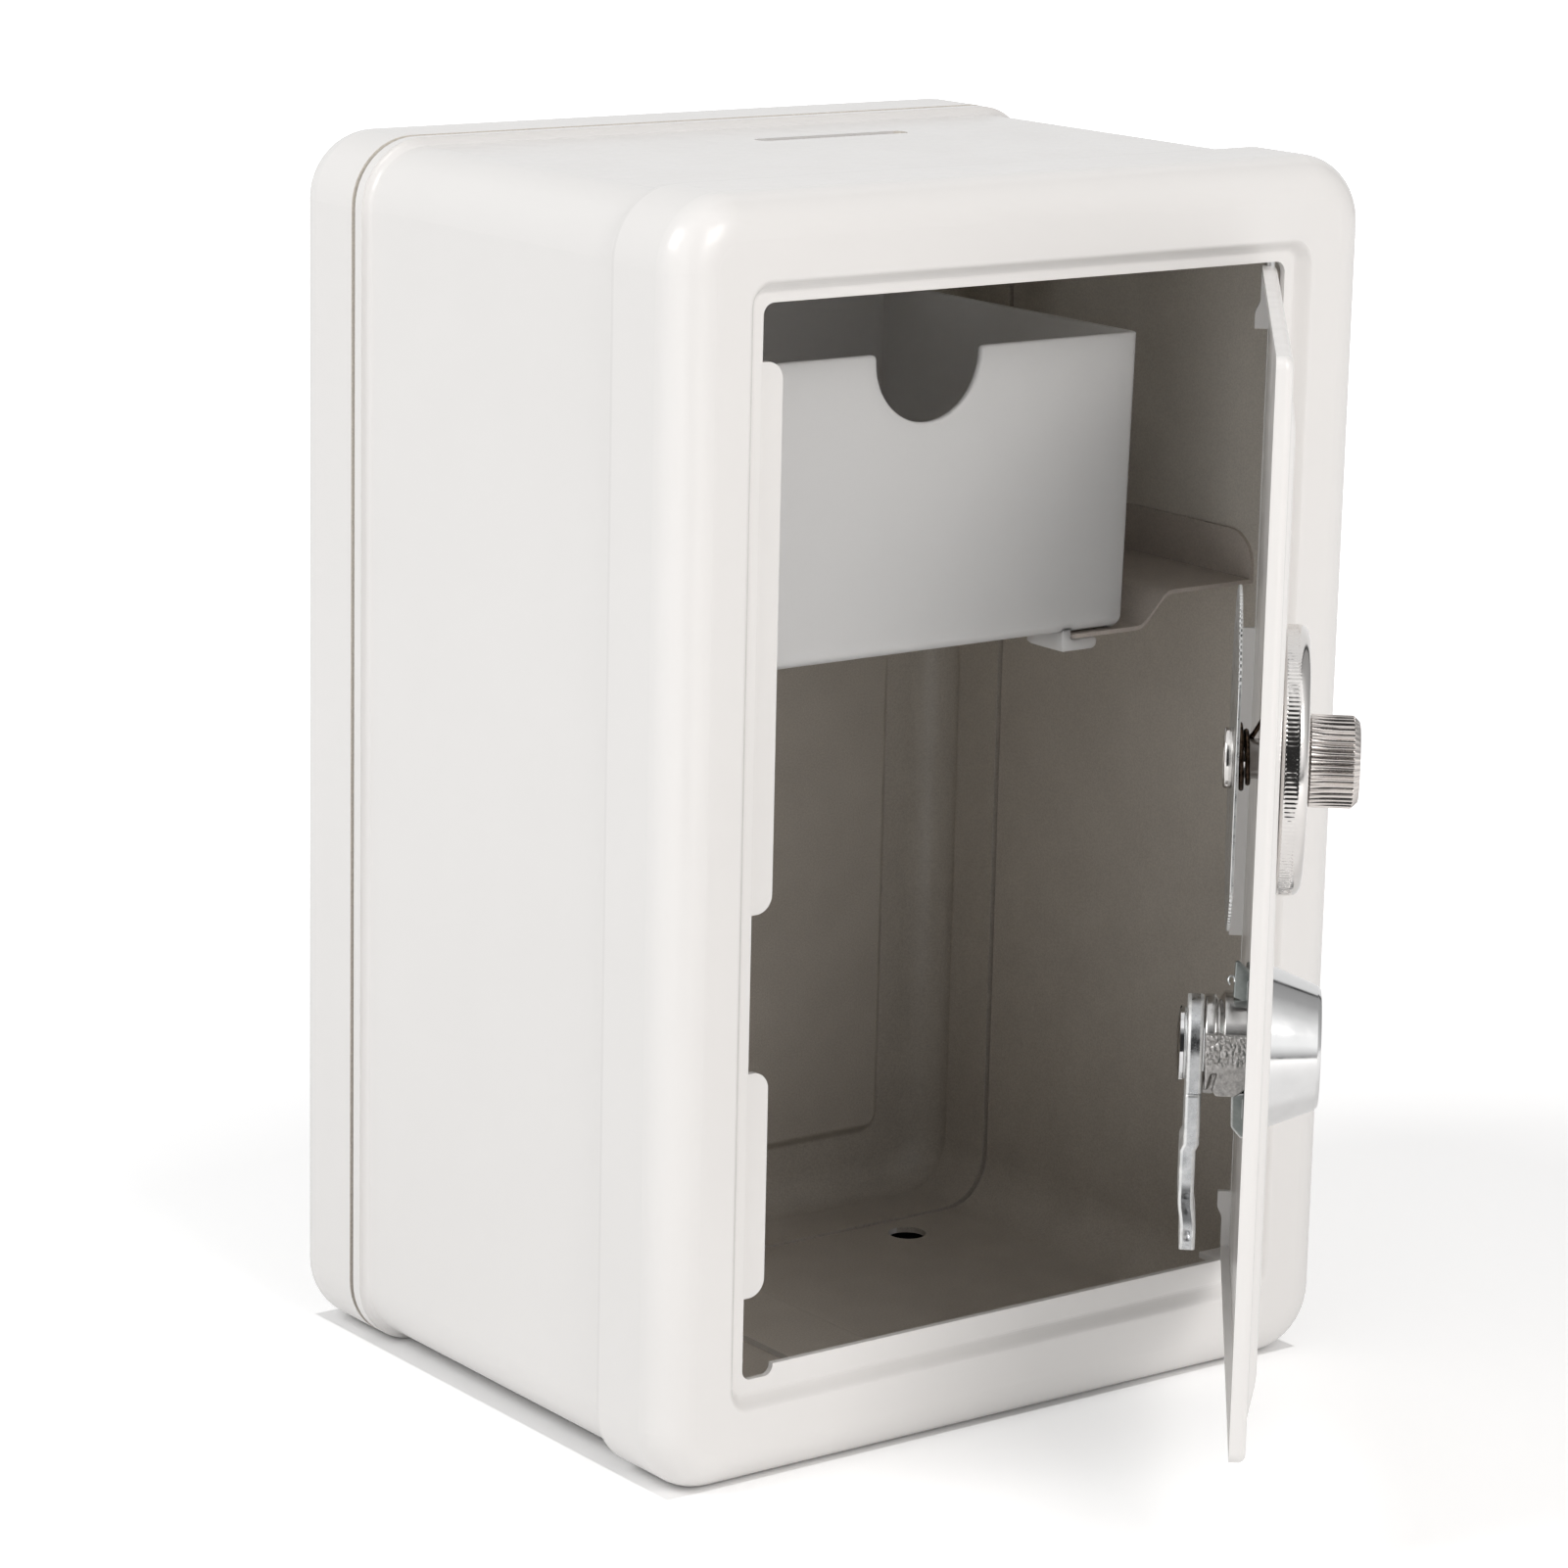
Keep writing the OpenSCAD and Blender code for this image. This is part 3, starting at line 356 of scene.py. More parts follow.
class Graph:
    """A node tree that is put together by short calls."""

    def __init__(self, tree):
        self.tree = tree

    def add(self, kind, inputs=(), **settings):
        node = self.tree.nodes.new("ShaderNode" + kind)
        for key, value in settings.items():
            setattr(node, key, value)
        for key, value in dict(inputs).items():
            self.put(node.inputs[key], value)
        return node

    def put(self, socket, value):
        if isinstance(value, bpy.types.NodeSocket):
            self.tree.links.new(value, socket)
        elif socket.type == "RGBA" and len(value) == 3:
            socket.default_value = (*value, 1)
        else:
            socket.default_value = value

    def between(self, value, low, high, start=0.3, end=0.7, soft=False):
        """Turns a value between start and end into a number between low and high."""
        return self.add("MapRange", {"Value": value, "From Min": start, "From Max": end,
                                     "To Min": low, "To Max": high},
                        interpolation_type="SMOOTHSTEP" if soft else "LINEAR").outputs["Result"]

    def math(self, operation, first, second=0.0, clamp=False):
        return self.add("Math", {0: first, 1: second}, operation=operation,
                        use_clamp=clamp).outputs["Value"]

    def size_of(self, vector):
        return self.add("VectorMath", {0: vector}, operation="LENGTH").outputs["Value"]

    def dot(self, vector, direction):
        return self.add("VectorMath", {0: vector, 1: direction},
                        operation="DOT_PRODUCT").outputs["Value"]

    def blend(self, factor, first, second):
        """A number between first and second."""
        node = self.add("Mix", {0: factor}, data_type="FLOAT")
        self.put(node.inputs[2], first)
        self.put(node.inputs[3], second)
        return node.outputs[0]

    def steps(self, value, stops):
        """A number that runs straight from one (value, number) stop to the next."""
        low, high = stops[0][0], stops[-1][0]
        node = self.add("FloatCurve", {"Value": self.between(value, 0, 1, low, high)})
        curve = node.mapping.curves[0]
        top = max(number for place, number in stops)
        for index, (place, number) in enumerate(stops):
            spot = (place - low) / (high - low), number / top
            if index in (0, len(stops) - 1):
                point = curve.points[0 if index == 0 else -1]
                point.location = spot
            else:
                point = curve.points.new(*spot)
            point.handle_type = "VECTOR"
        node.mapping.update()
        return self.math("MULTIPLY", node.outputs["Value"], top)


class Finish(Graph):
    """A node material."""

    def __init__(self, name):
        self.material = bpy.data.materials.new(name)
        self.material.use_nodes = True
        super().__init__(self.material.node_tree)
        self.shader = self.tree.nodes["Principled BSDF"]
        self.place = self.add("TexCoord").outputs["Object"]

    def set(self, **inputs):
        for key, value in inputs.items():
            self.put(self.shader.inputs[key.replace("_", " ").title().replace("Ior", "IOR")], value)

    def noise(self, size, detail=2.0, stretch=(1, 1, 1), roughness=0.5):
        """Noise whose features are about size metres across, stretched along the axes."""
        mapped = self.add("Mapping", {"Vector": self.place, "Scale": stretch}).outputs["Vector"]
        return self.add("TexNoise", {"Vector": mapped, "Scale": 1 / size, "Detail": detail,
                                     "Roughness": roughness}).outputs["Fac"]

    def edges(self, radius):
        """1 on an edge and 0 away from it: 1 less the cosine between the true and a bevelled normal."""
        soft = self.add("Bevel", {"Radius": radius}, samples=4).outputs["Normal"]
        true = self.add("NewGeometry").outputs["Normal"]
        return self.between(self.dot(soft, true), 1.0, 0.0, 0.75, 0.985)

    def specks(self, spacing, size):
        """1 in a few round specks and 0 between them."""
        cells = self.add("TexVoronoi", {"Vector": self.place, "Scale": 1 / spacing})
        return self.math("LESS_THAN", cells.outputs["Distance"], size / spacing)

    def mix(self, factor, first, second):
        node = self.add("Mix", data_type="RGBA")
        self.put(node.inputs[0], factor)
        self.put(node.inputs[6], first)
        self.put(node.inputs[7], second)
        return node.outputs[2]

    def bump(self, layers):
        """Bumps laid over each other: (height, distance in metres, strength)."""
        normal = None
        for height, distance, strength in layers:
            inputs = {"Height": height, "Distance": distance, "Strength": strength}
            if normal:
                inputs["Normal"] = normal
            normal = self.add("Bump", inputs).outputs["Normal"]
        self.put(self.shader.inputs["Normal"], normal)


def inner_skin(finish, place, inner_side):
    """1 where the skin faces the body's middle line and 0 elsewhere.

    It faces the line where x times the normal's x, plus the height over the middle times the
    normal's z, is less than -3 mm. "back" leaves out the recessed panel and adds what faces the
    front.
    "walls" adds what faces the front behind the bead and within the sleeve's rounded outline:
    there the distance past the corner's centre is less than its radius.
    """
    facing = finish.add("SeparateXYZ", {0: finish.add("TexCoord").outputs["Normal"]}).outputs
    sideways = finish.math("MULTIPLY", place["X"], facing["X"])
    height = finish.math("SUBTRACT", place["Z"], MIDDLE_Z)
    upright = finish.math("MULTIPLY", height, facing["Z"])
    inner = finish.math("LESS_THAN", finish.math("ADD", sideways, upright), -3 * MM)
    aside = finish.math("ABSOLUTE", place["X"])
    aloft = finish.math("ABSOLUTE", height)
    forwards = finish.math("LESS_THAN", facing["Y"], -0.3)
    if inner_side == "back":
        panel_half_x, panel_half_z = 50 * MM, 79.2 * MM
        border = finish.math("MAXIMUM", finish.math("GREATER_THAN", aside, panel_half_x),
                             finish.math("GREATER_THAN", aloft, panel_half_z))
        return finish.math("MAXIMUM", finish.math("MULTIPLY", inner, border), forwards)
    past_x = finish.math("SUBTRACT", aside, SLEEVE_HALF_X - SLEEVE_CORNER)
    past_z = finish.math("SUBTRACT", aloft, SLEEVE_HALF_Z - SLEEVE_CORNER)
    past = finish.add("CombineXYZ", {"X": finish.math("MAXIMUM", past_x, 0.0),
                                     "Y": finish.math("MAXIMUM", past_z, 0.0)}).outputs["Vector"]
    within = finish.math("LESS_THAN", finish.size_of(past), SLEEVE_CORNER)
    at_bead = finish.math("GREATER_THAN", place["Y"], 68 * MM)
    groove = finish.math("MULTIPLY", finish.math("MULTIPLY", within, forwards), at_bead)
    return finish.math("MAXIMUM", inner, groove)


def powder_coat(settings, name, inner_side, depth=1.0):
    """Satin powder coat: orange peel in the bump, a faint cloudiness in colour and gloss.

    It is a little worn at its edges, and along the rear brink of the front frame's skirt a thin
    band is darkened as painted shade, the shadow line of the seam to the sleeve.

    The thin darker coat with its fine speckle shows on the inner side, its darkness partly the
    coat's own and partly painted shade of the cabin: "none" has none of it, "walls" has it where
    the skin faces the body's middle line and in the groove of the rolled bead, "back" has it
    there outside the recessed panel and where the skin faces the front, and "all" has it
    everywhere. It gets darker towards the bottom and lighter towards the top as painted shade,
    and depth darkens it for a piece as painted shade.
    """
    finish = Finish(name)
    cloud = finish.noise(18 * MM, 3)
    outside = finish.mix(cloud, [0.985 * v for v in settings.outside],
                         [min(1.0, 1.012 * v) for v in settings.outside])
    worn = finish.math("MULTIPLY", finish.edges(0.5 * MM),
                       finish.between(finish.noise(1.7 * MM, 4), 0.1, 0.5))
    outside = finish.mix(worn, outside, [0.86 * v for v in settings.outside])
    peel = finish.noise(settings.peel, 2)
    rough = finish.between(finish.noise(7 * MM, 3), settings.roughness - 0.03,
                           settings.roughness + 0.05)
    place = finish.add("SeparateXYZ", {0: finish.place}).outputs
    if inner_side == "none":
        # The skirt ends here, behind the frame's origin
        skirt_end = 8 * MM
        # Painted shade: a thin darker band along the skirt's rear brink stands in for the seam's shadow
        # line
        brink = finish.math("MULTIPLY", finish.between(place["Y"], 0.0, 1.0, skirt_end - 0.7 * MM,
                                                       skirt_end - 0.4 * MM, soft=True),
                            finish.math("LESS_THAN", place["Y"], skirt_end + 0.05 * MM))
        outside = finish.mix(brink, outside, [0.94 * v for v in settings.outside])
        finish.set(base_color=outside, roughness=rough)
        finish.bump([(peel, 0.012 * MM, 0.35)])
        return finish.material
    inner = 1.0 if inner_side == "all" else inner_skin(finish, place, inner_side)
    grain = finish.noise(settings.speckle, 2, roughness=0.7)
    patches = finish.noise(9 * MM, 4)
    shade = finish.math("ADD", finish.between(grain, 0.4, 0.6), finish.between(patches, -0.035, 0.035))
    # Painted shade: the inside coat darkens towards the cabin's floor and lightens towards its top
    shade = finish.math("ADD", shade, finish.between(place["Z"], -0.16, 0.13, 10 * MM, 130 * MM))
    # The inside colour is darker partly as the thinner coat's own tone and partly as painted shade of the
    # cabin
    inside = finish.mix(shade, [0.45 * depth * v for v in settings.inside],
                        [min(1.0, 1.55 * depth * v) for v in settings.inside])
    inside = finish.mix(finish.specks(23 * MM, 0.3 * MM), inside, [0.2 * v for v in settings.inside])
    finish.set(base_color=finish.mix(inner, outside, inside),
               roughness=finish.math("ADD", rough, finish.math("MULTIPLY", inner, 0.12)))
    finish.bump([(peel, 0.012 * MM, 0.35),
                 (finish.math("MULTIPLY", grain, inner), 0.03 * MM, 0.5)])
    return finish.material


def chrome(name, tone, ripple, dull=0.0):
    """Bright chrome plate: a faint haze, hairline scratches and the plating's soft ripple."""
    finish = Finish(name)
    haze = finish.noise(2.4 * MM, 4)
    hair = finish.noise(0.25 * MM, 3, (1, 1, 14))
    finish.set(metallic=1.0, base_color=finish.mix(haze, [0.87 * v for v in tone], tone),
               roughness=finish.between(haze, 0.07 + dull, 0.15 + dull))
    finish.bump([(finish.noise(3 * MM, 1), ripple, 0.2), (hair, 0.5 * ripple, 0.3)])
    return finish.material


def zinc(name, light, dark, roughness, rub=None):
    """Zinc plate on pressed steel: milky patches, fine rolling lines and edges worn bright.

    Where rub gives a height and a reach, the plate is rubbed darker there.
    """
    finish = Finish(name)
    patches = finish.noise(1.6 * MM, 5, roughness=0.65)
    lines = finish.noise(0.18 * MM, 3, (1, 1, 0.08))
    plate = finish.mix(finish.between(patches, 0, 1), dark, light)
    if rub:
        height = finish.add("SeparateXYZ", {0: finish.place}).outputs["Z"]
        away = finish.math("ABSOLUTE", finish.math("SUBTRACT", height, rub[0]))
        rubbed = finish.math("MULTIPLY", finish.between(away, 0.95, 0.0, 0.6 * rub[1], rub[1], soft=True),
                             finish.between(patches, 0.75, 1.0))
        plate = finish.mix(rubbed, plate, [0.3 * v for v in dark])
    worn = finish.math("MULTIPLY", finish.edges(0.3 * MM), finish.between(patches, 0.5, 1.0))
    finish.set(metallic=1.0, base_color=finish.mix(worn, plate, (0.82, 0.82, 0.82)),
               roughness=finish.between(patches, roughness - 0.08, roughness + 0.1))
    finish.bump([(lines, 0.006 * MM, 0.25), (patches, 0.006 * MM, 0.2)])
    return finish.material


def cast_metal():
    """Grey die casting: a pitted, uneven skin."""
    finish = Finish("cast_metal")
    skin = finish.noise(0.55 * MM, 5, roughness=0.7)
    lumps = finish.noise(1.9 * MM, 3)
    finish.set(metallic=1.0, base_color=finish.mix(finish.between(skin, 0, 1), (0.28, 0.27, 0.262),
                                                   (0.56, 0.545, 0.53)),
               roughness=finish.between(lumps, 0.34, 0.46))
    finish.bump([(skin, 0.05 * MM, 0.4)])
    return finish.material


def spring_wire():
    """Oil-tempered wire: dark brown scale, worn brighter in places."""
    finish = Finish("spring_wire")
    scale = finish.noise(0.7 * MM, 4)
    finish.set(metallic=0.85, base_color=finish.mix(finish.between(scale, 0, 1),
                                                    (0.05, 0.03, 0.019), (0.27, 0.18, 0.12)),
               roughness=finish.between(scale, 0.3, 0.5))
    finish.bump([(scale, 0.02 * MM, 0.4)])
    return finish.material


def nylon():
    """Greased nylon: very glossy, warm grey and faintly mottled."""
    finish = Finish("nylon")
    mottle = finish.noise(1.2 * MM, 3)
    finish.set(base_color=finish.mix(mottle, (0.42, 0.36, 0.32), (0.66, 0.59, 0.53)),
               roughness=finish.between(mottle, 0.06, 0.12), specular_ior_level=0.9,
               coat_weight=1.0, coat_roughness=0.05)
    return finish.material


def frosted_plastic(settings):
    """Frosted polypropylene: milky, softly glossy, with a fine mould grain.

    The inside, where the skin faces the tray's middle, is paler as painted light, standing in for
    the light that passes through the walls, and the outside gets paler to the left as painted
    light, the lamps' light through the doorway beside the open door's shade on the right.
    """
    finish = Finish("frosted_plastic")
    cloud = finish.noise(14 * MM, 3)
    grain = finish.noise(0.3 * MM, 2)
    low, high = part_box("coin_tray")
    middle = tuple((a + b) / 2 for a, b in zip(low, high))
    away = finish.add("VectorMath", {0: finish.place, 1: middle}, operation="SUBTRACT").outputs["Vector"]
    normal = finish.add("TexCoord").outputs["Normal"]
    inner = finish.math("LESS_THAN", finish.dot(away, normal), 0.0)
    milky = finish.mix(cloud, [0.97 * v for v in settings.tint], [min(1, 1.02 * v) for v in settings.tint])
    sideways = finish.add("SeparateXYZ", {0: finish.place}).outputs["X"]
    # Painted light: the outside is paler to the left, where the lamps reach past the open door's shade
    milky = finish.mix(finish.between(sideways, 0.75, 0.0, low[0], middle[0], soft=True), milky,
                       [min(1, 1.09 * v) for v in settings.tint])
    # Painted light: the inner faces are paler, standing in for light through the frosted walls
    finish.set(base_color=finish.mix(inner, milky, (0.97, 0.97, 0.965)),
               roughness=finish.between(grain, 0.36, 0.46), subsurface_weight=1.0,
               subsurface_radius=(1.0, 1.0, 1.0), subsurface_scale=6 * MM)
    finish.bump([(grain, 0.006 * MM, 0.4)])
    return finish.material


def enamel(settings):
    """Black enamel rubbed into the graduations, a little dusty."""
    finish = Finish("enamel")
    dust = finish.noise(0.5 * MM, 4)
    finish.set(base_color=finish.mix(finish.between(dust, 0, 0.25), settings.enamel,
                                     (0.10, 0.10, 0.10)),
               roughness=finish.between(dust, 0.3, 0.5))
    return finish.material


MATERIALS = {}


def dress(names, material):
    """Gives CAD nodes a material."""
    for name in names:
        slots = NODES[name].data.materials
        slots.clear()
        slots.append(MATERIALS[material])


class COINBANK_OT_finishes(bpy.types.Operator):
    """Makes the finishes and gives every CAD piece its own"""
    bl_idname = "coinbank.finishes"
    bl_label = "Finishes"

    def execute(self, context):
        scene = context.scene
        MATERIALS.update(
            coat=powder_coat(scene.coinbank_paint, "powder_coat", "none"),
            sleeve_coat=powder_coat(scene.coinbank_paint, "sleeve_coat", "walls"),
            cover_coat=powder_coat(scene.coinbank_paint, "cover_coat", "back"),
            # Painted shade: the shelf's coat is darkened by 0.78 for the shade deep in the cabin
            shelf_coat=powder_coat(scene.coinbank_paint, "shelf_coat", "all", 0.78),
            chrome=chrome("bright_chrome", (0.79, 0.79, 0.79), 0.004 * MM),
            dial_chrome=chrome("dial_chrome", (0.79, 0.765, 0.745), 0.0015 * MM),
            knob_chrome=chrome("knob_chrome", (0.74, 0.695, 0.665), 0.0004 * MM, 0.09),
            barrel=chrome("barrel_chrome", (0.62, 0.61, 0.60), 0.004 * MM, 0.05),
            nylon=nylon(), wire=spring_wire(), cast=cast_metal(),
            zinc=zinc("zinc_plate", (0.76, 0.76, 0.75), (0.56, 0.57, 0.57), 0.3),
            cam=zinc("cam_steel", (0.70, 0.71, 0.72), (0.38, 0.39, 0.40), 0.28, (46.6 * MM, 3.4 * MM)),
            rubbed=zinc("rubbed_steel", (0.88, 0.88, 0.87), (0.66, 0.67, 0.67), 0.5),
            clip=zinc("clip_steel", (0.30, 0.32, 0.31), (0.21, 0.23, 0.225), 0.34),
            frosted=frosted_plastic(scene.coinbank_tray), enamel=enamel(scene.coinbank_dial))
        dress(["front_frame", "door_panel"], "coat")
        dress(["body_sleeve"], "sleeve_coat")
        dress(["back_cover"], "cover_coat")
        dress(["shelf"], "shelf_coat")
        dress(["dial", "dial_knob", "lock_barrel", "lock_plug"], "chrome")
        dress(["hinge_pin_top", "hinge_pin_bottom", "dial_spindle", "locking_disc", "disc_washer",
               "lock_cam", "cam_washer", "cam_screw"], "zinc")
        dress(["lock_clip"], "clip")
        dress(["dial_spring"], "wire")
        dress(["dial_bush"], "nylon")
        dress(["coin_tray"], "frosted")
        return {"FINISHED"}


class COINBANK_OT_door(bpy.types.Operator):
    """Makes the door's raised field and the dial's index mark"""
    bl_idname = "coinbank.door"
    bl_label = "Door"

    def execute(self, context):
        """The field's height is its rise, with the bulge, times the soft steps up from its edges."""
        size = context.scene.coinbank_door
        low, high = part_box("door_panel")
        axis = DIAL.origin[2]
        free, hinge = FREE_EDGE + size.free_margin, HINGE_EDGE - size.hinge_margin
        top, bottom = axis - high[2] + size.end_margin, axis - low[2] - size.end_margin
        across = self.shares(size.shoulder, 2 * size.shoulder, free, hinge)
        down = self.shares(size.end_slope, size.end_slope, top, bottom)
        x, y = across[:, :1], down[:, 0][None]
        rise = size.rise + size.bulge * ease(y, 2 * MM, 36 * MM)
        proud = rise * across[:, 1:] * down[:, 1][None]
        face = np.stack([x + 0 * y, y + 0 * x, 0.06 * MM - proud], axis=-1)
        under = np.stack([x + 0 * y, y + 0 * x, 0.35 * MM + 0 * proud], axis=-1)[:, ::-1]
        loop = DIAL.place(np.concatenate([face, under], axis=1))
        make_piece("door_field", "door", [(loop, False, True)], [MATERIALS["coat"]],
                   caps=[loop[0][::-1], loop[-1]], sharp=40)
        dial = context.scene.coinbank_dial.radius
        wide, upper, lower = 0.35 * MM, dial + 4.4 * MM, dial + 1 * MM
        mark = np.array([(-wide, -upper), (wide, -upper), (0.0, -lower)])
        ring = np.stack([mark[:, 0], mark[:, 1], 0 * mark[:, 0] + 0.05 * MM - size.rise], axis=-1)
        rims = DIAL.place(np.stack([ring, ring - [0, 0, 0.09 * MM]]))
        make_piece("index_mark", "door", [(rims, False, True)], [MATERIALS["enamel"]],
                   caps=[rims[0][::-1], rims[-1]])
        return {"FINISHED"}

    def shares(self, first, last, start, stop):
        """Places from start to stop, each with the soft step 3t^2 - 2t^3 of its way up either slope."""
        place = np.concatenate([start + first * np.linspace(0, 1, 15),
                                np.linspace(start + first, stop - last, 12)[1:-1],
                                stop - last * np.linspace(1, 0, 15)])
        up = ease(place, start, start + first)
        down = ease(place, stop - last, stop)
        return np.stack([place, up * (1 - down)], 1)


class COINBANK_OT_dial(bpy.types.Operator):
    """Makes the dial with its ribbed rim, rolled lip and dished face"""
    bl_idname = "coinbank.dial"
    bl_label = "Dial"

    def execute(self, context):
        """The hollow back, the ribbed band, the rolled lip and the dished face, turned in one."""
        size = context.scene.coinbank_dial
        radius, lip = size.radius, size.lip
        back = -size.back
        front = back - size.thickness
        face = front + 0.5 * MM
        hub, wall, hollow = 5 * MM, 16 * MM, back - 1.6 * MM
        rim = rounded([(SPINDLE, back, 0), (hub, back, 0.2 * MM), (hub, hollow, 0.3 * MM),
                       (wall, hollow, 0.3 * MM), (wall, back, 0.3 * MM),
                       (radius - 0.1 * MM, back, 0.45 * MM), (radius, back - 0.5 * MM, 0)], 3)
        band = np.linspace(back - 0.55 * MM, front + lip + 0.1 * MM, 17)
        ribbed = np.stack([np.full(len(band), radius), band], 1)
        arc = np.radians(np.linspace(0, 150, 15))
        rolled = np.stack([radius - lip + lip * np.cos(arc), front + lip - lip * np.sin(arc)], 1)
        centre = rounded([(radius - 2 * lip - 0.1 * MM, face, 0), (7.3 * MM, face, 0.3 * MM),
                          (6.9 * MM, front, 0.25 * MM), (SPINDLE, front, 0)], 4)
        profile = np.concatenate([rim, ribbed, rolled, centre])

        def ribs(angle, r, h):
            """r less a groove d (1 + cos 2 pi w) / 2 between the ribs, faded out at the rim's ends.

            Long uneven waves along the rim and across it wear the ribs away in places.
            """
            groove = 0.5 + 0.5 * np.cos(2 * math.pi * wave(angle, size.ribs))
            worn = np.sin(17 * angle + 2.2 * h / MM) * np.sin(41 * angle - 3.1 * h / MM)
            groove = groove * (0.72 + 0.28 * worn)
            along = ease(h, front + lip - 0.15 * MM, front + lip + 0.35 * MM) \
                * (1 - ease(h, back - 0.7 * MM, back - 0.45 * MM))
            outer = r > radius - 0.6 * MM
            mark = 0.3 * MM * bump_at(angle, math.radians(118), 0.022) \
                * bump_at(h, front + lip + 0.55 * MM, 0.4 * MM)
            return r - outer * (size.rib_depth * groove * along + mark)

        # Eight samples to a rib keep the wheel under 200,000 triangles
        surface = turned(profile, circle(8 * size.ribs), ribs)
        piece = make_piece("dial_wheel", "dial", [(DIAL.place(surface), True, True)],
                           [MATERIALS["dial_chrome"]], sharp=24)
        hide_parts("dial")
        self.graduations(size, face)
        return {"FINISHED"}

    def graduations(self, size, face):
        """Radial strokes and plain numbers, a hair's breadth proud of the dished face."""
        outer = size.radius - 2 * size.lip - 0.7 * MM
        grids = []
        for number in range(size.marks):
            angle = 2 * math.pi * number / size.marks - math.pi / 2
            major = number % 5 == 0
            inner = outer - (2.2 * MM if major else 1.3 * MM)
            half = 0.13 * MM if major else 0.08 * MM
            along = np.array([math.cos(angle), math.sin(angle), 0])
            across = np.array([-math.sin(angle), math.cos(angle), 0])
            ring = np.array([[inner, -half], [outer, -half], [outer, half], [inner, half]])
            flat = ring[:, :1] * along + ring[:, 1:] * across
            low = flat + [0, 0, face + 0.01 * MM]
            high = flat + [0, 0, face - 0.03 * MM]
            grids.append((DIAL.place(np.stack([low, high])), False, True))
            grids.append((DIAL.place(np.stack([high[[0, 1]], high[[3, 2]]])), False, False))
            grids.append((DIAL.place(np.stack([low[[0, 1]], low[[3, 2]]])), False, False))
        make_piece("dial_graduations", "dial", grids, [MATERIALS["enamel"]])
        self.numbers(size, face)

    def numbers(self, size, face):
        """Numbers round the dial's face, every fifth mark, read from its centre outwards."""
        context = bpy.context
        middle = size.radius - 2 * size.lip - 4.3 * MM
        every = 5
        meshes = []
        for number in range(0, size.marks, every):
            text = bpy.data.curves.new("figure", "FONT")
            text.body = str(number)
            text.size = 2.5 * MM
            text.align_x = "CENTER"
            text.align_y = "CENTER"
            text.extrude = 0.02 * MM
            text.resolution_u = 3
            figure = bpy.data.objects.new("figure", text)
            context.scene.collection.objects.link(figure)
            context.view_layer.update()
            mesh = bpy.data.meshes.new_from_object(figure.evaluated_get(
                context.evaluated_depsgraph_get()))
            angle = 2 * math.pi * number / size.marks
            place = np.empty(len(mesh.vertices) * 3, dtype=np.float32)
            mesh.vertices.foreach_get("co", place)
            x, y, z = place.reshape(-1, 3).T
            y = y + middle
            flat = np.stack([x * math.cos(angle) + y * math.sin(angle),
                             x * math.sin(angle) - y * math.cos(angle),
                             face - 0.01 * MM - z], axis=-1)
            mesh.vertices.foreach_set("co", DIAL.place(flat).astype(np.float32).ravel())
            meshes.append(mesh)
            bpy.data.objects.remove(figure)
            bpy.data.curves.remove(text)
        shell = bmesh.new()
        for mesh in meshes:
            shell.from_mesh(mesh)
            bpy.data.meshes.remove(mesh)
        bmesh.ops.remove_doubles(shell, verts=shell.verts, dist=MERGED)
        bmesh.ops.recalc_face_normals(shell, faces=shell.faces)
        joined = bpy.data.meshes.new("dial_numbers")
        shell.to_mesh(joined)
        shell.free()
        joined.materials.clear()
        joined.materials.append(MATERIALS["enamel"])
        piece = bpy.data.objects.new("dial_numbers", joined)
        bpy.context.scene.collection.objects.link(piece)
        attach(piece, "dial")


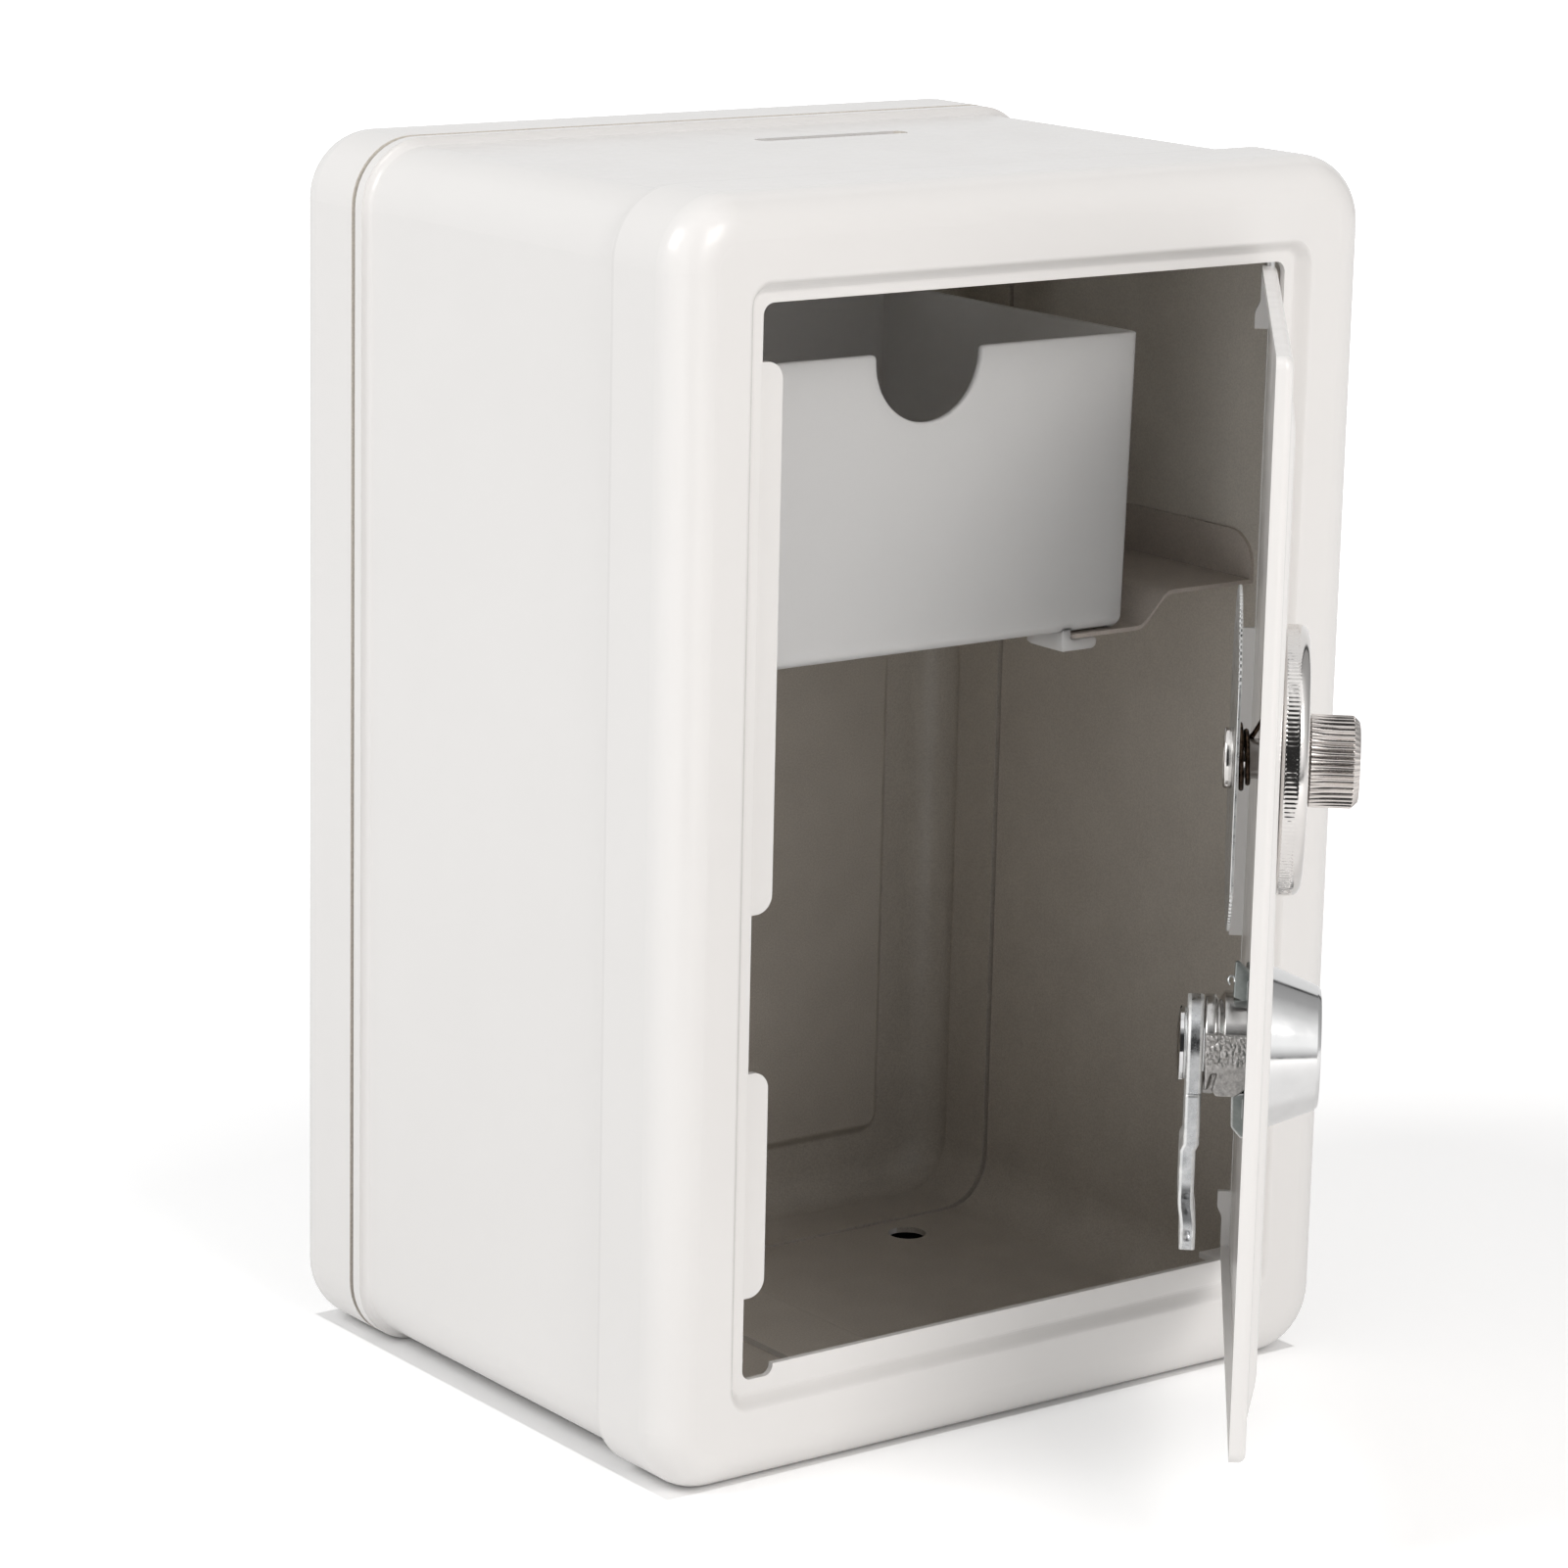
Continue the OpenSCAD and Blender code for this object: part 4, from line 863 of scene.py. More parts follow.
class COINBANK_OT_knob(bpy.types.Operator):
    """Makes the fluted knob and the spindle with its peened head"""
    bl_idname = "coinbank.knob"
    bl_label = "Knob and spindle"

    def execute(self, context):
        """Two outlines turned round the dial's axis: the knob, cut by its flutes, and the spindle."""
        size = context.scene.coinbank_dial
        radius = size.knob_radius
        root = -size.back - size.thickness
        front = root - size.knob_length
        profile = rounded([(0, root, 0), (radius, root, 0), (radius, root - 0.4 * MM, 0.1 * MM),
                           (radius, front + 0.9 * MM, 0.25 * MM), (radius - 0.9 * MM, front, 0.25 * MM),
                           (3.6 * MM, front, 0.2 * MM), (3.2 * MM, front + 0.25 * MM, 0.2 * MM),
                           (0, front + 0.35 * MM, 0)], 4)
        straight = np.stack([np.full(4, radius), np.linspace(root - 0.7 * MM, front + 1.2 * MM, 4)], 1)
        at = int(np.argmax(profile[:, 1] < root - 0.65 * MM))
        profile = np.concatenate([profile[:at], straight, profile[at:]])

        def flutes(angle, r, h):
            """The smaller of r and the radius less a round flute, which stops before the dial."""
            across = wave(angle, size.flutes) * 2 * math.pi * radius / size.flutes
            depth = np.sqrt(np.clip(size.flute_radius ** 2 - across ** 2, 0, None))
            depth = depth * (1 - ease(h, root - 0.9 * MM, root - 0.6 * MM))
            return np.minimum(r, radius - depth)

        surface = turned(profile, circle(14 * size.flutes), flutes)
        piece = make_piece("knob_fluted", "dial",
                           [(DIAL.place(surface), True, False)], [MATERIALS["knob_chrome"]], sharp=28)
        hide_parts("dial_knob")
        start, head = root - 4 * MM, DISC_BACK
        brim, dish, nub = head + 1.15 * MM, head + 0.7 * MM, head + 1.0 * MM
        spindle = rounded([(0, start, 0), (SPINDLE, start, 0), (SPINDLE, head, 0),
                           (4.1 * MM, head, 0.2 * MM), (4.1 * MM, brim, 0.34 * MM),
                           (3.1 * MM, brim, 0.2 * MM), (2.7 * MM, dish, 0.2 * MM),
                           (0.8 * MM, dish, 0.1 * MM), (0.6 * MM, nub, 0.2 * MM), (0, nub, 0)], 5)
        piece = make_piece("spindle_peened", "dial",
                           [(DIAL.place(turned(spindle, circle(64))), True, False)],
                           [MATERIALS["dial_chrome"]])
        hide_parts("dial_spindle", "disc_washer")
        return {"FINISHED"}


class COINBANK_OT_spring(bpy.types.Operator):
    """Makes the conical spring between the door and the locking disc"""
    bl_idname = "coinbank.spring"
    bl_label = "Spring"

    def execute(self, context):
        """A wire on a cone: as t runs from 0 to 1, its radius grows with t^1.4 and its depth with t.

        A short tail hooks over the door's hole first.
        """
        turns, wire = 2.15, 0.33 * MM
        along = np.linspace(0, 1, 160)
        angle = 2 * np.pi * turns * along - np.pi / 2
        radius = (3.1 + 1.5 * along ** 1.4) * MM
        depth = (2.45 + 1.8 * along) * MM
        path = np.stack([radius * np.cos(angle), radius * np.sin(angle), depth], axis=-1)
        tail = np.array([(-0.9, -5.5, 1.3), (-0.75, -5.0, 1.5), (-0.6, -4.5, 1.75), (-0.42, -3.95, 2.05),
                         (-0.2, -3.4, 2.32)]) * MM
        surface = DIAL.place(tube(np.concatenate([tail, path]), wire))
        piece = make_piece("spring_coil", "door", [(surface, False, True)],
                           [MATERIALS["wire"]], caps=[surface[0][::-1], surface[-1]], sharp=50)
        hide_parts("dial_spring")
        return {"FINISHED"}


class COINBANK_OT_locking_disc(bpy.types.Operator):
    """Makes the locking disc with its milled edge and its flat"""
    bl_idname = "coinbank.locking_disc"
    bl_label = "Locking disc"

    def execute(self, context):
        """A flat outline turned round the dial's axis, its rim cut by the milling and the flat."""
        teeth, radius, flat = 144, 23 * MM, 18.6 * MM
        depth, back = 4.6 * MM, DISC_BACK
        soft, plain = 0.1 * MM, 6 * MM
        profile = np.array([(SPINDLE, depth), (plain, depth), (radius - soft, depth),
                            (radius, depth + soft), (radius, back - soft), (radius - soft, back),
                            (plain, back), (SPINDLE, back)])

        def milled(angle, r, h):
            """The least of r, the milled radius and the flat's distance over the angle's cosine."""
            tooth = 0.22 * MM * np.clip(1 - np.abs(wave(angle, teeth)) / 0.3, 0, 1)
            edge = radius - tooth
            side = flat / np.clip(-np.cos(angle), 0.02, None)
            limit = np.where(np.cos(angle) < 0, np.minimum(edge, side), edge)
            return np.where(r > plain + MM, r - radius + limit, r)

        surface = turned(profile, circle(10 * teeth), milled)
        piece = make_piece("locking_disc_milled", "dial",
                           [(DIAL.place(surface), True, True)], [MATERIALS["zinc"]], sharp=25)
        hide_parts("locking_disc")
        return {"FINISHED"}


class COINBANK_OT_key_lock(bpy.types.Operator):
    """Makes the chromed cone and the cast barrel behind the door"""
    bl_idname = "coinbank.key_lock"
    bl_label = "Key lock"
    pad_top = -3.1 * MM
    pad_end = 5.4 * MM
    pad_root = -4.5 * MM

    def execute(self, context):
        """The cone's outline, turned round the lock's axis: it rises to a flat face with a recess."""
        size = context.scene.coinbank_lock
        base, face, height = size.cone_base, size.cone_face, size.cone_height
        hole = 4.55 * MM
        seat = -1.05 * MM
        recess, floor = 6 * MM, 0.8 * MM - height
        profile = rounded([(hole, seat, 0), (base - 0.3 * MM, seat, 0), (base, seat - 0.1 * MM, 0.08 * MM),
                           (base, seat - 0.3 * MM, 0.1 * MM), (face, 0.5 * MM - height, 0.45 * MM),
                           (face - 0.5 * MM, -height, 0.3 * MM), (recess, -height, 0.15 * MM),
                           (recess, floor, 0.15 * MM), (hole, floor, 0)], 5)
        cone = KEY.place(turned(profile, circle(160)))
        piece = make_piece("lock_cone", "door", [(cone, True, True)],
                           [MATERIALS["chrome"]], sharp=30)
        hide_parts("lock_barrel")
        self.barrel(size, hole)
        return {"FINISHED"}

    def barrel(self, size, hole):
        """The barrel: a round bar cut by three flats, r = min(r, d / cos(a - b)) for each.

        A cast pad fills the groove on the side that faces the free edge.
        """
        long = size.barrel_length
        main, collar, flat = size.barrel, size.collar, size.flat
        groove = main - 1.1 * MM
        start = -0.2 * MM
        profile = rounded([(hole, start, 0), (main, start, 0), (main, 4.6 * MM, 0.15 * MM),
                           (groove, 5.3 * MM, 0.1 * MM), (groove, 5.6 * MM, 0.1 * MM),
                           (collar, 5.9 * MM, 0.12 * MM), (collar, long, 0.25 * MM),
                           (hole, long, 0)], 4)
        edge = math.acos(flat / main)
        half = (math.pi / 2 - edge) / 2
        lower = main * math.cos(half)
        planes = [(flat, 0.0), (flat, math.pi), (lower, math.pi - edge - half)]
        corners = [toward + side * math.acos(reach / main) for reach, toward in planes for side in (-1, 1)]
        angles = np.unique(np.round(np.mod(np.concatenate([circle(180), corners]), 2 * np.pi), 6))

        def flats(angle, r, h):
            """The least of r and each flat's distance over the cosine of the angle from it."""
            for reach, toward in planes:
                turn = np.cos(angle - toward)
                r = np.minimum(r + 0 * angle, np.where(turn > 0.3, reach / np.clip(turn, 0.3, None), 1.0))
            return r

        pad = self.pad(flat)
        slant = [math.cos(planes[2][1]), math.sin(planes[2][1])]

        def cast(middles):
            """The three flats and the pad are left as cast."""
            place = KEY.unplace(middles)
            x, y = place[:, 0], place[:, 1]
            on_flat = (place[:, :2] @ slant > lower - 0.02 * MM) | (np.abs(x) > flat - 0.02 * MM)
            margin = 0.05 * MM
            on_pad = (x < self.pad_root + margin) & (y > self.pad_top - margin) \
                & (y < self.pad_end + margin)
            return on_flat | on_pad

        make_piece("barrel_cast", "door",
                   [(KEY.place(turned(profile, angles, flats)), True, True), (pad, False, True)],
                   [MATERIALS["barrel"], MATERIALS["cast"]], caps=[pad[0][::-1], pad[-1]], pick=cast,
                   sharp=30)
        self.clip(size)

    def pad(self, flat):
        """The cast pad that fills the groove, a loop in Y for each depth z.

        Its face stands out by the fold |s|, where s adds up sines of random directions whose
        waves get shorter; it is smooth below, drawn in round its edge by a quarter circle, and
        the groove runs on across its lower part.
        """
        t = 0.5 - 0.5 * np.cos(np.pi * np.linspace(0, 1, 90))
        z = 0.1 * MM + 7.0 * MM * t[:, None]
        top = self.pad_top
        narrow = 1.1 * MM * (1 - ease(z, 1.2 * MM, 3.2 * MM)) + 0.8 * MM * ease(z, 5.4 * MM, 6.2 * MM)
        reach = self.pad_end - narrow
        y = top + (reach - top) * t[None]
        draw = np.random.default_rng(11)
        longest, shorter, weaker = 1.7 * MM, 1.75, 1.6
        fold = 0
        for level in range(4):
            for turn in draw.uniform(0, np.pi, 5):
                phase = (y * np.cos(turn) + z * np.sin(turn)) * 2 * np.pi * shorter ** level / longest
                fold = fold + np.sin(phase + draw.uniform(0, 6.28)) / weaker ** level
        rough = 0.04 + 0.96 * (1 - ease(y, 0.7 * MM, 1.9 * MM))
        relief = 0.05 * MM * np.abs(fold) * rough
        middle = 5.3 * MM + 0.25 * (y - 2 * MM)
        groove = 0.75 * MM * ease(y, 2.0 * MM, 2.7 * MM) * ease(z, middle, middle + 0.12 * MM) \
            * (1 - ease(z, middle + 0.5 * MM, middle + 1.1 * MM))
        border = np.minimum(np.minimum(y - top, reach - y), np.minimum(z - z[0], z[-1] - z))
        edge = 0.35 * MM
        near = np.clip(1 - border / edge, 0, 1)
        soft = edge * (1 - np.sqrt(1 - near ** 2))
        x = -flat - 0.2 * MM - relief + groove + soft
        face = np.stack([x, y, z + 0 * y], axis=-1)
        under = np.stack([self.pad_root + 0 * y, y, z + 0 * y], axis=-1)[:, ::-1]
        return KEY.place(np.concatenate([face, under], axis=1))

    def clip(self, size):
        """The flat spring clip round the barrel, with a bent ear above and below.

        Its outline is a rounded square, r = min(w / |cos a|, w / |sin a|, R), round the barrel's hole.
        """
        w, r_most, low, high, soft = 9.6 * MM, 12.2 * MM, 1.0 * MM, 1.75 * MM, 0.15 * MM
        slack = 0.12 * MM
        hole = size.barrel + slack
        profile = np.array([(hole, low), (w - soft, low), (w, low + soft), (w, high - soft),
                            (w - soft, high), (hole, high)])

        def square(angle, r, h):
            """r, carried outwards by the outline's distance less w where it is on the rim."""
            across = np.maximum(np.abs(np.cos(angle)), 1e-6)
            up = np.maximum(np.abs(np.sin(angle)), 1e-6)
            reach = np.minimum(np.minimum(w / across, w / up), r_most)
            inner = np.minimum(hole, (size.flat + slack) / across)
            return np.where(r > w - 2 * soft, r - w + reach, inner + 0 * r)

        plate = KEY.place(turned(profile, circle(144), square))
        upper = (-10.6, 1.1, 0.2), (-12.6, 3.5, 0.35), (-7.3, 3.6, 0.3), (-6.2, 1.1, 0.2)
        lower = (6.2, 1.1, 0.2), (6.4, 3.1, 0.3), (10.7, 3.0, 0.4), (12.1, 1.8, 0.3), (12.0, 1.1, 0.2)
        near, far, round_edge = -2.6 * MM, -1.6 * MM, 0.2 * MM
        between = np.linspace(near + round_edge, far - round_edge, 6)[1:-1]
        ears = []
        for corners, step in ((upper, -1), (lower, 1)):
            outline = rounded(np.array(corners) * MM, 4, wrap=True)[::step]
            ears.append(KEY.place(carried(outline, near, far, round_edge, between)))
        turn = np.radians(np.linspace(-70, 200, 24))
        curl = np.stack([0.3 * MM * np.sin(turn) - 2.4 * MM, -w - 0.5 * MM * np.sin(turn),
                         3.9 * MM + 0.42 * MM * np.cos(turn)], axis=-1)
        curl = KEY.place(tube(curl, 0.16 * MM, 8))
        grids = [(plate, True, True), (curl, False, True)] + [(ear, False, True) for ear in ears]
        caps = [ring for ear in ears + [curl] for ring in (ear[0][::-1], ear[-1])]
        piece = make_piece("clip_bent", "door", grids, [MATERIALS["clip"]],
                           caps=caps, sharp=35)
        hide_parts("lock_clip")


class COINBANK_OT_cam(bpy.types.Operator):
    """Makes the pressed cam and the screw that holds it"""
    bl_idname = "coinbank.cam"
    bl_label = "Cam and screw"

    def execute(self, context):
        """A rounded section for each place y along the cam, as wide as the cam is there.

        Its half width is sqrt(R^2 - y^2) round the hub, less the shoulder's step, the taper and
        the tip's quarter circle. The joggle is a soft step in depth there and back, and the pits
        and the nick are bell curves along y.
        """
        size = context.scene.coinbank_lock
        tip, thick = size.cam_length, size.cam_thickness
        hub, arm, shoulder, tip_r = 6.7 * MM, 5 * MM, 5.1 * MM, 1.5 * MM
        depth = size.barrel_length + 0.2 * MM
        y = np.concatenate([-hub * np.cos(np.linspace(0, np.pi / 2, 22)),
                            np.linspace(0.3 * MM, shoulder, 8),
                            shoulder + np.array([0.04, 0.08, 0.12, 0.2]) * MM,
                            np.linspace(shoulder + 0.24 * MM, shoulder + 0.8 * MM, 15),
                            np.linspace(shoulder + 0.9 * MM, tip - 1.6 * MM, 110),
                            tip - tip_r * (1 - np.sin(np.linspace(0, np.pi / 2, 12)))])[:, None]
        half = np.sqrt(np.clip(hub ** 2 - np.clip(-y, 0, None) ** 2, 0, None))
        narrow = (hub - arm) * ease(y, shoulder, shoulder + 0.14 * MM)
        taper = 0.4 * MM * ease(y, shoulder, tip)
        into = np.clip(y - (tip - tip_r), 0, None)
        corner = tip_r - np.sqrt(np.clip(tip_r ** 2 - into ** 2, 0, None))
        half = half - narrow - taper - corner
        joggle = 0.42 * MM * (ease(y, 12.7 * MM, 13.9 * MM) - ease(y, 20.5 * MM, 24.8 * MM))
        bend, level_to = 0.22, 0.78
        section = rounded([(-1, 0, bend), (1, 0, bend), (1, 1, bend), (-1, 1, bend)], 4, wrap=True)
        side = np.stack([np.full(11, -1.0), np.linspace(0.74, 0.26, 11)], 1)
        section = np.concatenate([section, side])
        across, through = section.T
        soft = bend * thick
        over = np.maximum(np.abs(across) - level_to, 0) / bend
        x = np.sign(across) * (np.abs(across) >= level_to) * (half - soft * (1 - over))
        pits = 0.3 * MM * bump_at(y, 20.0 * MM, 0.25 * MM) + 0.2 * MM * bump_at(y, 21.7 * MM, 0.7 * MM) \
            + 0.55 * MM * bump_at(y, 25.5 * MM, 0.5 * MM)
        inner = bump_at(through, 0.5, 0.2) * (across < -0.99)
        nick_at = shoulder + 0.5 * MM
        nick = 0.45 * MM * bump_at(y, nick_at, 0.2 * MM)
        x = x + (pits * inner + nick) * (across < 0)
        h = depth + thick * through + joggle
        surface = np.stack([x, y + 0 * x, h], axis=-1)
        ends = [KEY.place(surface[-1])]

        def edges(middles):
            """The two long edges, and the rims of the nick at the shoulder."""
            place = KEY.unplace(middles)
            stepped = np.interp(place[:, 1], y[:, 0], joggle[:, 0])
            level = (place[:, 2] - depth - stepped) / thick
            rim = np.abs(np.abs(place[:, 1] - nick_at) - 0.36 * MM) < 0.1 * MM
            return (np.abs(level - 0.5) > 0.3) | (rim & (place[:, 0] < 0))

        piece = make_piece("cam_pressed", "lock", [(KEY.place(surface), False, True)],
                           [MATERIALS["cam"], MATERIALS["rubbed"]], caps=ends, pick=edges, sharp=35)
        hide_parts("lock_cam")
        self.screw(depth + thick)
        return {"FINISHED"}

    def screw(self, seat):
        """The washer's rim and the screw's domed head, whose slot is cut across the dome.

        The head is a loop in Y for each x: y = v sqrt(R^2 - x^2), and over it the height
        h = rise (1 - (x^2 + y^2) / R^2), less the slot where |x| is under its half width.
        """
        bore, rim, rear = 1.5 * MM, 4.8 * MM, seat + 0.4 * MM
        washer = rounded([(bore, seat, 0), (rim, seat, 0.1 * MM), (rim, rear, 0.1 * MM),
                          (bore, rear, 0)], 3)
        piece = make_piece("cam_washer_turned", "lock",
                           [(KEY.place(turned(washer, circle(64))), True, True)], [MATERIALS["zinc"]])
        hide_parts("cam_washer")
        radius, rise, edge, slot = 5.05 * MM, 0.45 * MM, 0.5 * MM, 0.55 * MM
        base = rear + 0.02 * MM
        outer = slot + (radius - slot) * np.sin(np.linspace(0, np.pi / 2, 18))
        x = np.concatenate([-outer[::-1], [-slot, slot], outer])[:, None]
        cut = (np.arange(len(x)) >= len(outer)) & (np.arange(len(x)) < len(outer) + 2)
        reach = np.sqrt(np.clip(radius ** 2 - x ** 2, 0, None))
        v = np.sin(np.linspace(-np.pi / 2, np.pi / 2, 25))[None]
        y = v * reach
        dome = base + edge + rise * (1 - (x ** 2 + y ** 2) / radius ** 2)
        dome = np.where(cut[:, None], base + 0.35 * MM, dome)
        top = np.stack([x + 0 * y, y, dome], axis=-1)
        under = np.stack([x + 0 * y, y, base + 0 * y], axis=-1)[:, ::-1]
        loop = KEY.place(np.concatenate([top, under], axis=1))
        piece = make_piece("cam_screw_head", "lock", [(loop, False, True)],
                           [MATERIALS["chrome"]], sharp=30)
        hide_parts("cam_screw")


class COINBANK_OT_tray(bpy.types.Operator):
    """Makes the frosted coin tray with its finger notch, round rim and hooks"""
    bl_idname = "coinbank.tray"
    bl_label = "Coin tray"

    def execute(self, context):
        size = context.scene.coinbank_tray
        low, high = (np.array(corner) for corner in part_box("coin_tray"))
        middle = (low + high) / 2
        foot = low[2] + 2.8 * MM
        rim = self.rim_path(size, (high[0] - low[0]) / 2, (high[1] - low[1]) / 2)
        shell = self.shell(size, high[2] - foot, *rim) + [middle[0], middle[1], foot]
        grids = [(shell, True, False)]
        caps = []
        for side in (-1, 1):
            hook = self.hook(side) + [middle[0], low[1] + 1.3 * MM, low[2]]
            grids.append((hook, False, True))
            caps += [hook[0][::-1], hook[-1]]
        piece = make_piece("tray_frosted", "tray", grids,
                           [MATERIALS["frosted"]], caps=caps, sharp=50)
        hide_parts("coin_tray")
        return {"FINISHED"}

    def rim_path(self, size, half_x, half_y):
        """Points round the tray's top edge, seen from above, with the finger notch in the front.

        For each: x and y on the outer wall, the wall's outward direction, the depth below the
        rim, the direction out of the wall's edge, and the x at the foot of the wall. Along the
        notch the edge follows a round corner, a short straight and a half circle.
        """
        corner, lip, radius = size.corner, 0.8 * MM, size.notch
        middle, straight = size.notch_place, 0.9 * MM
        turn = np.radians(np.linspace(90, 0, 7))
        bow = np.radians(np.linspace(180, 360, 49))
        left = np.linspace(-(half_x - corner), middle - radius - lip, 12)[:-1]
        right = np.linspace(middle + radius + lip, half_x - corner, 14)[1:]
        x = np.concatenate([left, middle - radius - lip + lip * np.cos(turn),
                            middle + radius * np.cos(bow),
                            middle + radius + lip - lip * np.cos(turn[::-1]), right])
        z = np.concatenate([0 * left, lip * np.sin(turn) - lip, radius * np.sin(bow) - straight,
                            lip * np.sin(turn[::-1]) - lip, 0 * right])
        out_x = np.concatenate([0 * left, np.cos(turn), -np.cos(bow), -np.cos(turn[::-1]), 0 * right])
        out_z = np.concatenate([0 * left + 1, np.sin(turn), -np.sin(bow), np.sin(turn[::-1]),
                                0 * right + 1])
        notch = np.arange(len(left), len(x) - len(right))
        base = x.copy()
        base[notch] = np.linspace(x[notch[0]], x[notch[-1]], len(notch))
        rest = []
        corners = (1, -1), (1, 1), (-1, 1), (-1, -1)
        for number, (sx, sy) in enumerate(corners):
            arc = np.radians(np.linspace(-90, 0, 8) + 90 * number)
            rest.append(np.stack([sx * (half_x - corner) + corner * np.cos(arc),
                                  sy * (half_y - corner) + corner * np.sin(arc),
                                  np.cos(arc), np.sin(arc)], 1))
            if number < 3:
                ahead = corners[number + 1]
                start = rest[-1][-1]
                angle = np.radians(90 * number)
                stop = np.array([ahead[0] * (half_x - corner) + corner * math.cos(angle),
                                 ahead[1] * (half_y - corner) + corner * math.sin(angle)])
                t = np.linspace(0, 1, 18)[1:-1, None]
                side = start[:2] + t * (stop - start[:2])
                rest.append(np.hstack([side, np.tile(start[2:], (len(t), 1))]))
        rest = np.concatenate(rest)
        across = np.concatenate([x, rest[:, 0]])
        away = np.concatenate([np.full(len(x), -half_y), rest[:, 1]])
        outward = np.concatenate([np.tile([0.0, -1.0], (len(x), 1)), rest[:, 2:]])
        drop = np.concatenate([z, np.zeros(len(rest))])
        lean = np.concatenate([np.stack([out_x, out_z], 1), np.tile([0.0, 1.0], (len(rest), 1))])
        below = np.concatenate([base, rest[:, 0]])
        return across, away, outward, drop, lean, below

    def shell(self, size, tall, across, away, outward, drop, lean, below):
        """The tray's skin: up the outside, over the round rim and down the inside.

        At height z the wall stands inwards of its top by draft (1 - z / height), and the edges
        round its foot are quarter circles.
        """
        wall, draft, foot_r = size.wall, size.draft, size.foot_radius
        edge, inner_r = 0.35 * MM, 0.8 * MM

        def at(x, z, inset):
            """A point of the wall, drawn inwards by its inset and by the draft at its height."""
            shift = inset + draft * (1 - z / tall)
            return np.stack([x - outward[:, :1] * shift, away[:, None] - outward[:, 1:] * shift,
                             z + 0 * x], axis=-1)

        def foot(radius, level, inset, steps):
            """A quarter circle: z = level + r (1 - cos a), drawn inwards by r (1 - sin a)."""
            a = np.radians(np.linspace(0, 90, steps))[None]
            z = level + radius * (1 - np.cos(a))
            return at(below[:, None] + 0 * a, z + 0 * below[:, None], inset + radius * (1 - np.sin(a)))

        def side(inset, level, steps):
            """Straight up the wall, from a level to just below the round rim."""
            t = np.linspace(0, 1, steps)[None]
            x = below[:, None] + t * (across - edge * lean[:, 0] - below)[:, None]
            z = level + t * (tall + drop - edge * lean[:, 1] - level)[:, None]
            return at(x, z, inset + 0 * x)

        outer_foot = foot(foot_r, 0, 0, 8)
        outer = side(0, foot_r, 16)
        a = np.radians(np.concatenate([np.linspace(0, 90, 6), np.linspace(90, 180, 6)]))[None]
        inset = np.where(a <= np.pi / 2, edge, wall - edge) - edge * np.cos(a)
        x = across[:, None] + edge * lean[:, :1] * (np.sin(a) - 1)
        z = tall + drop[:, None] + edge * lean[:, 1:] * (np.sin(a) - 1)
        rim = at(x, z, inset + 0 * x)
        inner = side(wall, wall + inner_r, 16)[:, ::-1]
        inner_foot = foot(inner_r, wall, wall, 6)[:, ::-1]
        rings = np.array([1, 0.96, 0.8, 0.4, 0])

        def floor(ring):
            """The ring's x and y times 1, 0.96 and so on down to 0, at the ring's own height."""
            flat = ring[:, None] * np.array([1, 1, 0]) * rings[:, None]
            return flat + ring[:, None] * np.array([0, 0, 1])

        return np.concatenate([floor(outer_foot[:, 0])[:, ::-1], outer_foot, outer, rim, inner,
                               inner_foot, floor(inner_foot[:, -1])], axis=1)

    def hook(self, side):
        """An L-shaped hook: its round-cornered outline carried back, with soft ends.

        Towards the rear its underside rises by r - sqrt(r^2 - d^2), a quarter circle.
        """
        web, width, deep, thick, top = 25.7 * MM, 6.5 * MM, 8.3 * MM, 1.6 * MM, 3.6 * MM
        soft, heel = 0.25 * MM, 1 * MM
        outline = rounded([(0, 0, 0.3 * MM), (width, 0, 1 * MM), (width, thick, 0.3 * MM),
                           (thick, thick, 0.4 * MM), (thick, top, 0), (0, top, 0)], 5, wrap=True)
        between = np.linspace(1 * MM, deep - 0.9 * MM, 10)
        back, flat, level = np.moveaxis(carried(outline, 0.0, deep, soft, between), -1, 0)
        into = np.clip(back - (deep - heel), 0, heel)
        rise = heel - np.sqrt(heel ** 2 - into ** 2)
        height = np.where(level > thick / 2, level, np.maximum(level, rise))
        return np.stack([side * (web + flat), back, height], axis=-1)


